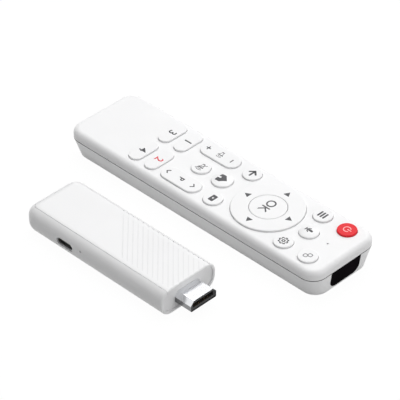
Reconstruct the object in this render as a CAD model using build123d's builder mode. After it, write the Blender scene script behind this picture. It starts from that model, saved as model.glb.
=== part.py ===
from build123d import *
from math import radians, sqrt
import os

# A streaming stick and the remote control that lies beside it, in millimetres with +Z up.
# The origin is the centre of the stick's flat base. +X points out of the stick's plug and +Y points
# across to the remote, which lies parallel to the stick with its signal window towards +X.

# The stick's casing
STICK_LENGTH = 80.0
STICK_WIDTH = 29.9
STICK_HEIGHT = 12.6
STICK_WALL = 1.3
STICK_PLAN_RADIUS = 6.0
STICK_TOP_RADIUS = 5.0
STICK_BOTTOM_RADIUS = 5.6
MOUTH_EDGE_RADIUS = 0.8
COVER_WIDTH = 23.8
COVER_SETBACK = 3.0
COVER_CORNER_RADIUS = 2.0
SEAM_GAP = 0.15
SNUG_GAP = 0.05
END_PLATE_SETBACK = 0.8
END_PLATE_THICKNESS = 1.2

# The fine diagonal grooves on the plug half of the stick's cover
GROOVE_PITCH = 2.0
GROOVE_WIDTH = 0.4
GROOVE_DEPTH = 0.25
GROOVE_START = 3.0
GROOVE_ANGLE = -45.0
GROOVE_LENGTH = 95.0

# The video plug
PLUG_WIDTH = 13.9
PLUG_TOP_WIDTH = 10.4
PLUG_HEIGHT = 4.9
PLUG_SHOULDER = 0.55
PLUG_CORNER_RADIUS = 0.5
PLUG_REACH = 8.0
PLUG_LENGTH = 16.5
PLUG_CENTRE_Z = 6.05
PLUG_WALL = 0.3
PLUG_LIP_SETBACK = 0.3
PLUG_CAVITY_WIDTH = 11.4
PLUG_CAVITY_HEIGHT = 2.0
PLUG_CAVITY_DEPTH = 8.5
CONTACT_PITCH = 1.0
CONTACT_WIDTH = 0.4
CONTACT_THICKNESS = 0.2
UPPER_CONTACTS = 10
LOWER_CONTACTS = 9

# The stick's circuit board and the posts that carry it
BOARD_THICKNESS = 1.0
BOARD_TOP = 4.6
BOARD_WIDTH = 25.0
BOARD_MARGIN = 1.8
BOARD_CORNER_RADIUS = 3.4
POST_RADIUS = 2.0
PIN_RADIUS = 1.1
POST_OFFSET = 9.4
POST_REAR_X = -33.0
POST_FRONT_X = 25.0
CLIP_LENGTH = 4.0
CLIP_THICKNESS = 1.0
CLIP_DEPTH = 2.2
CLIP_XS = (-24.0, 0.0, 30.0)
CLIP_OFFSET = 10.6

# The power socket in the stick's near side, and the pinhole with its switch
SOCKET_X = -15.35
SOCKET_CENTRE_Z = 6.2
SOCKET_WIDTH = 8.94
SOCKET_HEIGHT = 3.2
SOCKET_DEPTH = 7.3
SOCKET_WALL = 0.3
SOCKET_SETBACK = 0.5
SOCKET_CLEARANCE = 0.2
TONGUE_WIDTH = 6.7
TONGUE_THICKNESS = 0.7
TONGUE_SETBACK = 0.8
SOCKET_BACK_THICKNESS = 2.0
SOCKET_CONTACTS = 12
SOCKET_CONTACT_PITCH = 0.5
SOCKET_CONTACT_WIDTH = 0.25
SOCKET_CONTACT_THICKNESS = 0.1
PINHOLE_X = -6.05
PINHOLE_Z = 7.7
PINHOLE_DIAMETER = 0.95
SWITCH_LENGTH = 4.6
SWITCH_WIDTH = 2.9
SWITCH_HEIGHT = 4.4
SWITCH_FACE_OFFSET = 12.4
PLUNGER_DIAMETER = 1.4
PLUNGER_LENGTH = 1.3
PLUNGER_PROUD = 0.8
PLUNGER_BORE_DEPTH = 1.0
PLUNGER_CLEARANCE = 0.08

# The stick's chips, cooling stack and aerials: length, width, height
PROCESSOR_SIZE = (13.0, 13.0, 1.2)
MEMORY_SIZE = (10.0, 7.4, 1.0)
FLASH_SIZE = (13.0, 11.5, 1.0)
RADIO_SIZE = (12.0, 13.0, 1.8)
CRYSTAL_SIZE = (3.2, 2.5, 0.8)
COIL_SIZE = (4.0, 4.0, 2.0)
CAN_SIZE = (28.0, 17.0, 2.6)
CAN_WALL = 0.3
CHIP_MARGIN = 0.9
CAN_X = 6.0
CAN_Y = 1.5
PAD_SIZE = (20.0, 14.0, 2.0)
SPREADER_SIZE = (44.0, 15.6, 1.4)
AERIAL_SIZE = (1.6, 5.0, 3.0)
AERIAL_WALL = 0.3
AERIAL_OFFSET = 4.2

# The remote's casing
REMOTE_LENGTH = 140.5
REMOTE_WIDTH = 38.0
REMOTE_HEIGHT = 14.0
REMOTE_WALL = 1.2
REMOTE_PLAN_RADIUS = 6.5
REMOTE_TOP_RADIUS = 2.6
REMOTE_BASE_RADIUS = 1.0
REMOTE_SIDE_DRAW_IN = 2.9
REMOTE_END_DRAW_IN = 1.2
REMOTE_SEAM_Z = 9.45
REMOTE_SEAM_GAP = 0.3
REMOTE_X = 5.45
REMOTE_Y = 51.9
LIP_HEIGHT = 1.0
LIP_ROOT = 1.6
LIP_THICKNESS = 0.7
WINDOW_WIDTH = 17.2
WINDOW_CORNER_RADIUS = 3.6
WINDOW_SILL = 1.25
MIC_HOLE_DIAMETER = 0.9

# Where the keys lie on the remote, along it from its middle and across it from its centreline
POWER_ROW = 0.427 * REMOTE_LENGTH
MENU_ROW = 0.334 * REMOTE_LENGTH
DIAL_ROW = 0.1975 * REMOTE_LENGTH
VOICE_ROW = DIAL_ROW + 22.3
BACK_ROW = 0.0565 * REMOTE_LENGTH
HOME_ROW = 0.0153 * REMOTE_LENGTH
ROCKER_ROW = -0.0715 * REMOTE_LENGTH
APP_ROWS = (-0.1847 * REMOTE_LENGTH, -0.2502 * REMOTE_LENGTH)
SIDE_COLUMN = 11.5
APP_COLUMN = 8.5

# The keys
SMALL_KEY_DIAMETER = 8.3
HOME_KEY_DIAMETER = 9.3
OK_KEY_DIAMETER = 15.6
DIAL_DIAMETER = 30.8
ROCKER_LENGTH = 20.4
ROCKER_WIDTH = 8.3
APP_KEY_LENGTH = 14.5
APP_KEY_WIDTH = 6.4
KEY_PROUD = 0.8
KEY_EDGE_RADIUS = 0.35
KEY_CLEARANCE = 0.15
KEY_TRAVEL = 0.6
KEY_REST_GAP = 0.05
FLANGE_RIM = 0.6
FLANGE_THICKNESS = 0.5
STEM_RADIUS = 1.5
STEM_LENGTH = 1.8
DIAL_STEM_RADIUS = 0.9
KEY_CROWN = 0.7
APP_STEM_INSET = 1.75
MUTE_STEM_SHIFT = 1.5
DIAL_TILT = 1.5
ROCKER_TILT = 2.5
TILT_ALLOWANCE = 0.1
DIAL_ARROW_RADIUS = 11.3
DIAL_WALL = 1.2
COLLAR_THICKNESS = 0.6

# The remote's board, its key mat and the stack under the keys
MAT_PAD_HEIGHT = 0.4
MAT_THICKNESS = 0.5
MAT_MARGIN = 0.2
PAD_RADIUS = 1.2
DOME_DIAMETER = 4.0
DOME_THICKNESS = 0.2
REMOTE_BOARD_THICKNESS = 1.0
REMOTE_BOARD_WIDTH = 32.4
REMOTE_BOARD_CORNER = 6.0
BOARD_END_MARGIN = 2.6
REMOTE_POST_RADIUS = 2.0
SCREW_DIAMETER = 1.6
SCREW_HEAD_DIAMETER = 3.0
SCREW_HEAD_HEIGHT = 0.6
SCREW_LENGTH = 5.0
SCREW_OFFSET = 13.0
LAMP_DIAMETER = 5.0
LAMP_LENGTH = 6.0
LAMP_GAP = 0.4
MICROPHONE_DIAMETER = 4.0
MICROPHONE_HEIGHT = 1.5
REMOTE_CHIP_SIZE = (6.0, 6.0, 0.9)

# The two cells, their bay and the door that slides off the remote's near end
CELL_DIAMETER = 10.2
CELL_LENGTH = 43.3
CELL_NUB_DIAMETER = 3.8
CELL_NUB_LENGTH = 1.2
CELL_PITCH = 10.6
CELL_GAP = 0.1
SPRING_LENGTH = 1.6
SPRING_BASE_RADIUS = 3.2
SPRING_TIP_RADIUS = 2.2
SPRING_WALL = 0.5
PLATE_THICKNESS = 0.3
PLATE_WIDTH = 8.0
BAY_WALL = 0.8
BAY_END_WALL = 1.0
BAY_SETBACK = 5.0
DOOR_THICKNESS = 0.95
DOOR_WIDTH = 25.6
DOOR_TOP_Z = 6.0
DOOR_GAP = 0.15
DOOR_OVERHANG = 3.0
RAIL_WIDTH = 0.5
RAIL_THICKNESS = 0.4
RAIL_Z = 0.35
RAIL_SETBACK = 10.0
GRIP_RIBS = 5
GRIP_PITCH = 1.6
GRIP_LENGTH = 12.0
GRIP_WIDTH = 0.8
GRIP_DEPTH = 0.3

STICK_FRONT = STICK_LENGTH / 2
STICK_BACK = -STICK_LENGTH / 2
STICK_SIDE = -STICK_WIDTH / 2
PLUG_TIP = STICK_FRONT + PLUG_REACH
PLUG_ROOT = PLUG_TIP - PLUG_LENGTH
BOARD_BOTTOM = BOARD_TOP - BOARD_THICKNESS
COVER_UNDERSIDE = STICK_HEIGHT - STICK_WALL

CROSSWAYS = 90.0
STANDING = (Align.CENTER, Align.CENTER, Align.MIN)
HANGING = (Align.CENTER, Align.CENTER, Align.MAX)

os.makedirs("parts", exist_ok=True)


def soft_block(plane, length, width, height, plan_radius, top_radius, bottom_radius, open_front=False):
    """A block with soft edges that stands on the plane. An open front keeps its +X end square."""
    with BuildPart(plane) as block:
        Box(length, width, height, align=STANDING)
        uprights = block.edges().filter_by(Axis.Z).sort_by(Axis.X)
        fillet(uprights[:2] if open_front else uprights, plan_radius)
        for side, radius in ((-1, top_radius), (0, bottom_radius)):
            rim = block.faces().sort_by(Axis.Z)[side].edges().sort_by(Axis.X)
            fillet(rim[:-1] if open_front else rim, radius)
    return block.part


def stick_block(inset, overrun=0.0):
    """The stick's form drawn in by inset, and run out past its plug end by overrun."""
    length = STICK_LENGTH - inset + overrun
    plane = Plane((STICK_BACK + inset + length / 2, 0, inset))
    return soft_block(plane, length, STICK_WIDTH - 2 * inset, STICK_HEIGHT - 2 * inset,
                      STICK_PLAN_RADIUS - inset, STICK_TOP_RADIUS - inset,
                      STICK_BOTTOM_RADIUS - inset, open_front=True)


def cover_field(ease):
    """The upright block whose sides part the cover from the shell, drawn in by ease."""
    length = STICK_LENGTH - COVER_SETBACK - ease + MOUTH_EDGE_RADIUS
    centre_x = STICK_FRONT + MOUTH_EDGE_RADIUS - length / 2
    with BuildPart() as field:
        with BuildSketch(Plane((centre_x, 0, STICK_HEIGHT / 2))) as outline:
            Rectangle(length, COVER_WIDTH - 2 * ease)
            fillet(outline.vertices().group_by(Axis.X)[0], COVER_CORNER_RADIUS)
        extrude(amount=STICK_HEIGHT)
    return field.part


def plug_section(x, grow=0.0):
    """The plug's face at x, grown by grow. Its wide side lies below and two shoulders narrow it above."""
    side = PLUG_WIDTH / 2
    top = PLUG_TOP_WIDTH / 2
    half = PLUG_HEIGHT / 2
    with BuildSketch(Plane((x, 0, PLUG_CENTRE_Z), x_dir=(0, 1, 0), z_dir=(1, 0, 0))) as section:
        with BuildLine():
            Polyline((-side, -half), (side, -half), (side, PLUG_SHOULDER), (top, half),
                     (-top, half), (-side, PLUG_SHOULDER), close=True)
        make_face()
        if grow:
            offset(amount=grow, kind=Kind.INTERSECTION)
        fillet(section.vertices(), PLUG_CORNER_RADIUS + grow)
    return section.sketch


def socket_section(y, shrink=0.0):
    """The socket's slot with round ends, in the plane at y that faces -Y, drawn in by shrink."""
    plane = Plane((SOCKET_X, y, SOCKET_CENTRE_Z), x_dir=(1, 0, 0), z_dir=(0, -1, 0))
    with BuildSketch(plane) as section:
        SlotOverall(SOCKET_WIDTH - 2 * shrink, SOCKET_HEIGHT - 2 * shrink)
    return section.sketch


# The whole form of the stick, with a small round along the edge of its mouth
with BuildPart() as stick_form:
    add(stick_block(0))
    fillet(stick_form.faces().sort_by(Axis.X)[-1].edges(), MOUTH_EDGE_RADIUS)

stick_cavity = stick_block(STICK_WALL, overrun=MOUTH_EDGE_RADIUS)

# The skin of the form that the grooves are cut into, in lanes that run across the cover on the skew
groove_span = (STICK_FRONT + COVER_WIDTH / 2 - GROOVE_START) / sqrt(2)
groove_count = int(groove_span / GROOVE_PITCH) + 1
with BuildPart() as grooves:
    with BuildSketch(Plane((GROOVE_START, 0, STICK_HEIGHT / 2)).rotated((0, 0, GROOVE_ANGLE))):
        with Locations(*[(0, lane * GROOVE_PITCH) for lane in range(groove_count)]):
            Rectangle(GROOVE_LENGTH, GROOVE_WIDTH)
    extrude(amount=STICK_HEIGHT)
    add(stick_block(GROOVE_DEPTH, overrun=MOUTH_EDGE_RADIUS), mode=Mode.SUBTRACT)

# The cover lies in the shell's open top, and six clips reach down inside the walls
with BuildPart() as stick_top_cover:
    add(stick_form)
    add(cover_field(SEAM_GAP), mode=Mode.INTERSECT)
    add(stick_cavity, mode=Mode.SUBTRACT)
    add(grooves, mode=Mode.SUBTRACT)
    with BuildSketch(Plane.XY.offset(COVER_UNDERSIDE - CLIP_DEPTH)):
        with Locations(*[(x, side * CLIP_OFFSET) for x in CLIP_XS for side in (-1, 1)]):
            Rectangle(CLIP_LENGTH, CLIP_THICKNESS)
    extrude(amount=CLIP_DEPTH)
stick_top_cover.part.label = "stick_top_cover"
export_step(stick_top_cover.part, "parts/stick_top_cover.step")

POST_PLACES = [(x, side * POST_OFFSET) for x in (POST_REAR_X, POST_FRONT_X) for side in (-1, 1)]

# The shell is a tub with four shouldered posts that carry the board and hold the cover up
with BuildPart() as stick_lower_shell:
    add(stick_form)
    add(cover_field(0), mode=Mode.SUBTRACT)
    add(stick_cavity, mode=Mode.SUBTRACT)
    with BuildSketch(Plane.XY.offset(STICK_WALL)):
        with Locations(*POST_PLACES):
            Circle(POST_RADIUS)
    extrude(amount=BOARD_BOTTOM - STICK_WALL)
    with BuildSketch(Plane.XY.offset(BOARD_BOTTOM)):
        with Locations(*POST_PLACES):
            Circle(PIN_RADIUS)
    extrude(amount=COVER_UNDERSIDE - BOARD_BOTTOM - SNUG_GAP)
    extrude(socket_section(STICK_SIDE + 2 * STICK_WALL, shrink=-SOCKET_CLEARANCE),
            amount=2 * STICK_WALL, mode=Mode.SUBTRACT)
    with BuildSketch(Plane((PINHOLE_X, STICK_SIDE, PINHOLE_Z), z_dir=(0, 1, 0))):
        Circle(PINHOLE_DIAMETER / 2)
    extrude(amount=STICK_WALL, mode=Mode.SUBTRACT)
stick_lower_shell.part.label = "stick_lower_shell"
export_step(stick_lower_shell.part, "parts/stick_lower_shell.step")

# The end plate closes the mouth round the plug
with BuildPart() as end_plate:
    add(stick_block(STICK_WALL + SNUG_GAP, overrun=MOUTH_EDGE_RADIUS))
    with BuildSketch(Plane.YZ.offset(STICK_FRONT - END_PLATE_SETBACK - END_PLATE_THICKNESS)):
        Rectangle(2 * STICK_WIDTH, 2 * STICK_HEIGHT)
    extrude(amount=END_PLATE_THICKNESS, mode=Mode.INTERSECT)
    extrude(plug_section(PLUG_ROOT, grow=SNUG_GAP), amount=PLUG_LENGTH, mode=Mode.SUBTRACT)
end_plate.part.label = "end_plate"
export_step(end_plate.part, "parts/end_plate.step")

with BuildPart() as plug_shell:
    extrude(plug_section(PLUG_ROOT), amount=PLUG_LENGTH)
    extrude(plug_section(PLUG_ROOT, grow=-PLUG_WALL), amount=PLUG_LENGTH, mode=Mode.SUBTRACT)
plug_shell.part.label = "plug_shell"
export_step(plug_shell.part, "parts/plug_shell.step")

PLUG_MOUTH = PLUG_TIP - PLUG_LIP_SETBACK
PLUG_CAVITY_FLOOR = PLUG_MOUTH - PLUG_CAVITY_DEPTH

# The insulator fills the plug and leaves a slot, with a lane above and below it for each contact
with BuildPart() as plug_insulator:
    extrude(plug_section(PLUG_ROOT, grow=-PLUG_WALL), amount=PLUG_LENGTH - PLUG_LIP_SETBACK)
    with BuildSketch(Plane((PLUG_CAVITY_FLOOR, 0, PLUG_CENTRE_Z), x_dir=(0, 1, 0), z_dir=(1, 0, 0))):
        Rectangle(PLUG_CAVITY_WIDTH, PLUG_CAVITY_HEIGHT)
        for side, count in ((1, UPPER_CONTACTS), (-1, LOWER_CONTACTS)):
            with Locations((0, side * (PLUG_CAVITY_HEIGHT + CONTACT_THICKNESS) / 2)):
                with GridLocations(CONTACT_PITCH, 1, count, 1):
                    Rectangle(CONTACT_WIDTH, CONTACT_THICKNESS)
    extrude(amount=PLUG_CAVITY_DEPTH, mode=Mode.SUBTRACT)
plug_insulator.part.label = "plug_insulator"
export_step(plug_insulator.part, "parts/plug_insulator.step")

with BuildPart() as plug_contacts:
    with BuildSketch(Plane((PLUG_CAVITY_FLOOR, 0, PLUG_CENTRE_Z), x_dir=(0, 1, 0), z_dir=(1, 0, 0))):
        for side, count in ((1, UPPER_CONTACTS), (-1, LOWER_CONTACTS)):
            with Locations((0, side * (PLUG_CAVITY_HEIGHT + CONTACT_THICKNESS) / 2)):
                with GridLocations(CONTACT_PITCH, 1, count, 1):
                    Rectangle(CONTACT_WIDTH, CONTACT_THICKNESS)
    extrude(amount=PLUG_CAVITY_DEPTH - PLUG_LIP_SETBACK)
plug_contacts.part.label = "plug_contacts"
export_step(plug_contacts.part, "parts/plug_contacts.step")

# The board runs from the far end to the back of the plug
BOARD_BACK = STICK_BACK + STICK_WALL + BOARD_MARGIN
BOARD_CENTRE_X = (BOARD_BACK + PLUG_ROOT) / 2
with BuildPart() as stick_board:
    with BuildSketch(Plane((BOARD_CENTRE_X, 0, BOARD_BOTTOM))):
        RectangleRounded(PLUG_ROOT - BOARD_BACK, BOARD_WIDTH, BOARD_CORNER_RADIUS)
    extrude(amount=BOARD_THICKNESS)
    with BuildSketch(Plane.XY.offset(BOARD_BOTTOM)):
        with Locations(*POST_PLACES):
            Circle(PIN_RADIUS + SNUG_GAP)
    extrude(amount=BOARD_THICKNESS, mode=Mode.SUBTRACT)
stick_board.part.label = "stick_board"
export_step(stick_board.part, "parts/stick_board.step")


def chips(name, size, places, z=BOARD_TOP, align=STANDING):
    """One or more like blocks on the board, kept in one piece list entry."""
    with BuildPart(Plane.XY.offset(z)) as group:
        with Locations(*places):
            Box(*size, align=align)
    group.part.label = name
    export_step(group.part, f"parts/{name}.step")


CAN_TOP = BOARD_TOP + CAN_SIZE[2]
PAD_TOP = CAN_TOP + PAD_SIZE[2]
PROCESSOR_X = CAN_X + CAN_SIZE[0] / 2 - PROCESSOR_SIZE[0] / 2 - CHIP_MARGIN
MEMORY_X = CAN_X - CAN_SIZE[0] / 2 + MEMORY_SIZE[0] / 2 + CHIP_MARGIN
MEMORY_STEP = MEMORY_SIZE[1] / 2 + CAN_WALL
FLASH_X = CAN_X - CAN_SIZE[0] / 2 - FLASH_SIZE[0]
chips("processor", PROCESSOR_SIZE, [(PROCESSOR_X, CAN_Y)])
chips("memory_chips", MEMORY_SIZE, [(MEMORY_X, CAN_Y + side * MEMORY_STEP) for side in (-1, 1)])
chips("flash_chip", FLASH_SIZE, [(FLASH_X, CAN_Y)])
chips("radio_module", RADIO_SIZE, [(FLASH_X - CRYSTAL_SIZE[0], 0)], BOARD_BOTTOM, HANGING)
chips("clock_crystal", CRYSTAL_SIZE, [(CAN_X + CAN_SIZE[0] / 2 + CRYSTAL_SIZE[0], CAN_Y)])
chips("power_coils", COIL_SIZE, [(CAN_X + side * COIL_SIZE[0], 0) for side in (-1, 1)], BOARD_BOTTOM, HANGING)
chips("thermal_pad", PAD_SIZE, [(CAN_X, CAN_Y)], CAN_TOP)
chips("heat_spreader", SPREADER_SIZE, [(CAN_X, 0)], PAD_TOP)

with BuildPart(Plane((CAN_X, CAN_Y, BOARD_TOP))) as shield_can:
    Box(*CAN_SIZE, align=STANDING)
    offset(amount=-CAN_WALL, openings=shield_can.faces().sort_by(Axis.Z)[0])
shield_can.part.label = "shield_can"
export_step(shield_can.part, "parts/shield_can.step")

# Two folded strips of spring metal stand on the far end of the board
with BuildPart(Plane.XY.offset(BOARD_TOP)) as aerials:
    aerial_x = BOARD_BACK + AERIAL_SIZE[0]
    with Locations((aerial_x, -AERIAL_OFFSET), (aerial_x, AERIAL_OFFSET)):
        Box(*AERIAL_SIZE, align=STANDING)
    with Locations((aerial_x + AERIAL_WALL, -AERIAL_OFFSET, AERIAL_WALL),
                   (aerial_x + AERIAL_WALL, AERIAL_OFFSET, AERIAL_WALL)):
        Box(AERIAL_SIZE[0], AERIAL_SIZE[1], AERIAL_SIZE[2] - 2 * AERIAL_WALL, align=STANDING,
            mode=Mode.SUBTRACT)
aerials.part.label = "aerials"
export_step(aerials.part, "parts/aerials.step")

# The power socket: a metal shell with a tongue that carries a row of contacts on both faces
SOCKET_MOUTH = STICK_SIDE + SOCKET_SETBACK
SOCKET_BACK = SOCKET_MOUTH + SOCKET_DEPTH
TONGUE_LENGTH = SOCKET_DEPTH - TONGUE_SETBACK - SOCKET_BACK_THICKNESS
with BuildPart() as socket_shell:
    extrude(socket_section(SOCKET_BACK), amount=SOCKET_DEPTH)
    extrude(socket_section(SOCKET_BACK, shrink=SOCKET_WALL), amount=SOCKET_DEPTH, mode=Mode.SUBTRACT)
socket_shell.part.label = "socket_shell"
export_step(socket_shell.part, "parts/socket_shell.step")

with BuildPart() as socket_tongue:
    extrude(socket_section(SOCKET_BACK, shrink=SOCKET_WALL), amount=SOCKET_BACK_THICKNESS)
    with BuildSketch(Plane((SOCKET_X, SOCKET_BACK, SOCKET_CENTRE_Z), x_dir=(1, 0, 0), z_dir=(0, -1, 0))):
        Rectangle(TONGUE_WIDTH, TONGUE_THICKNESS)
    extrude(amount=SOCKET_BACK_THICKNESS + TONGUE_LENGTH)
socket_tongue.part.label = "socket_tongue"
export_step(socket_tongue.part, "parts/socket_tongue.step")

with BuildPart() as socket_contacts:
    contact_y = SOCKET_BACK - SOCKET_BACK_THICKNESS
    with BuildSketch(Plane((SOCKET_X, contact_y, SOCKET_CENTRE_Z), x_dir=(1, 0, 0), z_dir=(0, -1, 0))):
        row_gap = TONGUE_THICKNESS + SOCKET_CONTACT_THICKNESS
        with GridLocations(SOCKET_CONTACT_PITCH, row_gap, SOCKET_CONTACTS, 2):
            Rectangle(SOCKET_CONTACT_WIDTH, SOCKET_CONTACT_THICKNESS)
    extrude(amount=TONGUE_LENGTH - TONGUE_SETBACK)
socket_contacts.part.label = "socket_contacts"
export_step(socket_contacts.part, "parts/socket_contacts.step")

# The reset switch stands behind the pinhole with its plunger towards it
PINHOLE_AXIS = Plane((PINHOLE_X, -SWITCH_FACE_OFFSET, PINHOLE_Z), z_dir=(0, 1, 0))
with BuildPart() as reset_switch:
    with Locations((PINHOLE_X, -SWITCH_FACE_OFFSET, BOARD_TOP)):
        Box(SWITCH_LENGTH, SWITCH_WIDTH, SWITCH_HEIGHT, align=(Align.CENTER, Align.MIN, Align.MIN))
    with BuildSketch(PINHOLE_AXIS):
        Circle(PLUNGER_DIAMETER / 2 + PLUNGER_CLEARANCE)
    extrude(amount=PLUNGER_BORE_DEPTH, mode=Mode.SUBTRACT)
reset_switch.part.label = "reset_switch"
export_step(reset_switch.part, "parts/reset_switch.step")

with BuildPart() as reset_plunger:
    with BuildSketch(PINHOLE_AXIS.offset(-PLUNGER_PROUD)):
        Circle(PLUNGER_DIAMETER / 2)
    extrude(amount=PLUNGER_LENGTH)
reset_plunger.part.label = "reset_plunger"
export_step(reset_plunger.part, "parts/reset_plunger.step")

# Heights inside the remote, from the keys down
REMOTE_FRONT = REMOTE_LENGTH / 2
KEY_TOP = REMOTE_HEIGHT + KEY_PROUD
ROOF = REMOTE_HEIGHT - REMOTE_WALL
FLANGE_TOP = ROOF - KEY_REST_GAP
FLANGE_BASE = FLANGE_TOP - FLANGE_THICKNESS
CELL_BASE = DOOR_THICKNESS + CELL_GAP
CELL_AXIS_Z = CELL_BASE + CELL_DIAMETER / 2
DIAL_SLOPE = radians(DIAL_TILT)
BOTH_WAYS_SLOPE = sqrt(2) * DIAL_SLOPE
DIAL_DROP = (DIAL_DIAMETER / 2 + FLANGE_RIM) * BOTH_WAYS_SLOPE + TILT_ALLOWANCE
ROCKER_DROP = (ROCKER_LENGTH / 2 + FLANGE_RIM) * radians(ROCKER_TILT) + TILT_ALLOWANCE
STEM_BASE = FLANGE_BASE - STEM_LENGTH
PAD_Z = STEM_BASE - KEY_TRAVEL - TILT_ALLOWANCE
MAT_Z = PAD_Z - MAT_PAD_HEIGHT
DOME_TOP = MAT_Z - MAT_THICKNESS
REMOTE_BOARD_TOP = DOME_TOP - DOME_THICKNESS
REMOTE_BOARD_BASE = REMOTE_BOARD_TOP - REMOTE_BOARD_THICKNESS
BAY_HALF_WIDTH = (CELL_PITCH + CELL_DIAMETER) / 2 + CELL_GAP
ARM_OFFSET = (BAY_HALF_WIDTH + BAY_WALL + REMOTE_BOARD_WIDTH / 2) / 2


def remote_plane(along=0.0, across=0.0, z=0.0):
    """A level plane on the remote, along it from its middle and across it from its centreline."""
    return Plane((REMOTE_X + along, REMOTE_Y + across, z))


def remote_outline(z, inset, depth=0.0):
    """The remote's outline at height z, drawn in by inset, and by the taper at a depth from 0 to 1."""
    length = REMOTE_LENGTH - 2 * inset - 2 * depth * REMOTE_END_DRAW_IN
    width = REMOTE_WIDTH - 2 * inset - 2 * depth * REMOTE_SIDE_DRAW_IN
    with BuildSketch(remote_plane(z=z)) as outline:
        RectangleRounded(length, width, REMOTE_PLAN_RADIUS - inset)
    return outline.sketch


def remote_block(inset):
    """The remote's form drawn in by inset on every side. Below the seam it tapers in towards the base."""
    depth = (REMOTE_SEAM_Z - inset) / REMOTE_SEAM_Z
    with BuildPart() as block:
        loft([remote_outline(inset, inset, depth), remote_outline(REMOTE_SEAM_Z, inset)], ruled=True)
        if inset < REMOTE_BASE_RADIUS:
            fillet(block.faces().sort_by(Axis.Z)[0].edges(), REMOTE_BASE_RADIUS - inset)
        extrude(remote_outline(REMOTE_SEAM_Z, inset), amount=REMOTE_HEIGHT - inset - REMOTE_SEAM_Z)
        fillet(block.faces().sort_by(Axis.Z)[-1].edges(), REMOTE_TOP_RADIUS - inset)
    return block.part


def slab(low, high):
    """A level slab wider than the remote, from one height to another."""
    with BuildPart(remote_plane(z=low)) as block:
        Box(2 * REMOTE_LENGTH, 2 * REMOTE_WIDTH, high - low, align=STANDING)
    return block.part


remote_form = remote_block(0)
remote_cavity = remote_block(REMOTE_WALL)
key_room = remote_block(REMOTE_WALL + KEY_REST_GAP)

ROUND_KEYS = {
    "power_key": (POWER_ROW, SIDE_COLUMN, SMALL_KEY_DIAMETER),
    "source_key": (POWER_ROW, -SIDE_COLUMN, SMALL_KEY_DIAMETER),
    "menu_key": (MENU_ROW, SIDE_COLUMN, SMALL_KEY_DIAMETER),
    "settings_key": (MENU_ROW, -SIDE_COLUMN, SMALL_KEY_DIAMETER),
    "voice_key": (VOICE_ROW, 0.0, SMALL_KEY_DIAMETER),
    "back_key": (BACK_ROW, SIDE_COLUMN, SMALL_KEY_DIAMETER),
    "guide_key": (BACK_ROW, -SIDE_COLUMN, SMALL_KEY_DIAMETER),
    "home_key": (HOME_ROW, 0.0, HOME_KEY_DIAMETER),
    "mute_key": (ROCKER_ROW, 0.0, SMALL_KEY_DIAMETER),
}
DOMED_KEYS = ("voice_key", "home_key")
STEM_SHIFTS = {"mute_key": MUTE_STEM_SHIFT}
ROCKERS = {"volume_rocker": SIDE_COLUMN, "channel_rocker": -SIDE_COLUMN}
APP_KEYS = {
    "app_key_1": (APP_ROWS[0], APP_COLUMN),
    "app_key_2": (APP_ROWS[0], -APP_COLUMN),
    "app_key_3": (APP_ROWS[1], APP_COLUMN),
    "app_key_4": (APP_ROWS[1], -APP_COLUMN),
}


def key_face(plane, length, width, grow=0.0):
    """A round or round-ended key's outline on the plane, grown by grow all round."""
    with BuildSketch(plane) as face:
        if length == width:
            Circle(length / 2 + grow)
        elif length > width:
            SlotOverall(length + 2 * grow, width + 2 * grow)
        else:
            SlotOverall(width + 2 * grow, length + 2 * grow, rotation=CROSSWAYS)
    return face.sketch


def crown_cap(along, across, radius):
    """The shallow round dome on top of a domed key."""
    ball = (radius ** 2 + KEY_CROWN ** 2) / (2 * KEY_CROWN)
    with BuildPart(remote_plane(along, across, KEY_TOP)) as cap:
        Cylinder(radius, KEY_CROWN, align=STANDING)
        with Locations((0, 0, KEY_CROWN - ball)):
            Sphere(ball, mode=Mode.INTERSECT)
    return cap.part


def key_cap(along, across, length, width, stems, drop=0.0, domed=False):
    """A key whose flange lies drop below the roof, with a round stem at each of the given offsets."""
    flange_top = FLANGE_TOP - drop
    flange_base = flange_top - FLANGE_THICKNESS
    with BuildPart() as flange:
        extrude(key_face(remote_plane(along, across, flange_base), length, width, FLANGE_RIM),
                amount=FLANGE_THICKNESS)
        add(Pos(0, 0, -drop) * key_room, mode=Mode.INTERSECT)
    with BuildPart() as key:
        extrude(key_face(remote_plane(along, across, flange_base), length, width),
                amount=KEY_TOP - flange_base)
        fillet(key.faces().sort_by(Axis.Z)[-1].edges(), KEY_EDGE_RADIUS)
        if domed:
            add(crown_cap(along, across, width / 2 - KEY_EDGE_RADIUS))
        add(flange.part)
        with BuildSketch(remote_plane(along, across, STEM_BASE)):
            with Locations(*stems):
                Circle(STEM_RADIUS)
        extrude(amount=flange_base - STEM_BASE)
    return key.part


# The mute key's stem stands off its middle, clear of the battery bay
for name, (along, across, diameter) in ROUND_KEYS.items():
    round_key = key_cap(along, across, diameter, diameter, [(STEM_SHIFTS.get(name, 0), 0)],
                        domed=name in DOMED_KEYS)
    round_key.label = name
    export_step(round_key, f"parts/{name}.step")

# Each rocker has a stem at both ends, on the outer side where the board passes the battery bay
ROCKER_STEM = ROCKER_LENGTH / 2 - ROCKER_WIDTH / 2
for name, across in ROCKERS.items():
    stem_shift = ARM_OFFSET - SIDE_COLUMN if across > 0 else SIDE_COLUMN - ARM_OFFSET
    rocker = key_cap(ROCKER_ROW, across, ROCKER_LENGTH, ROCKER_WIDTH,
                     [(-ROCKER_STEM, stem_shift), (ROCKER_STEM, stem_shift)], drop=ROCKER_DROP)
    rocker.label = name
    export_step(rocker, f"parts/{name}.step")

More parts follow.
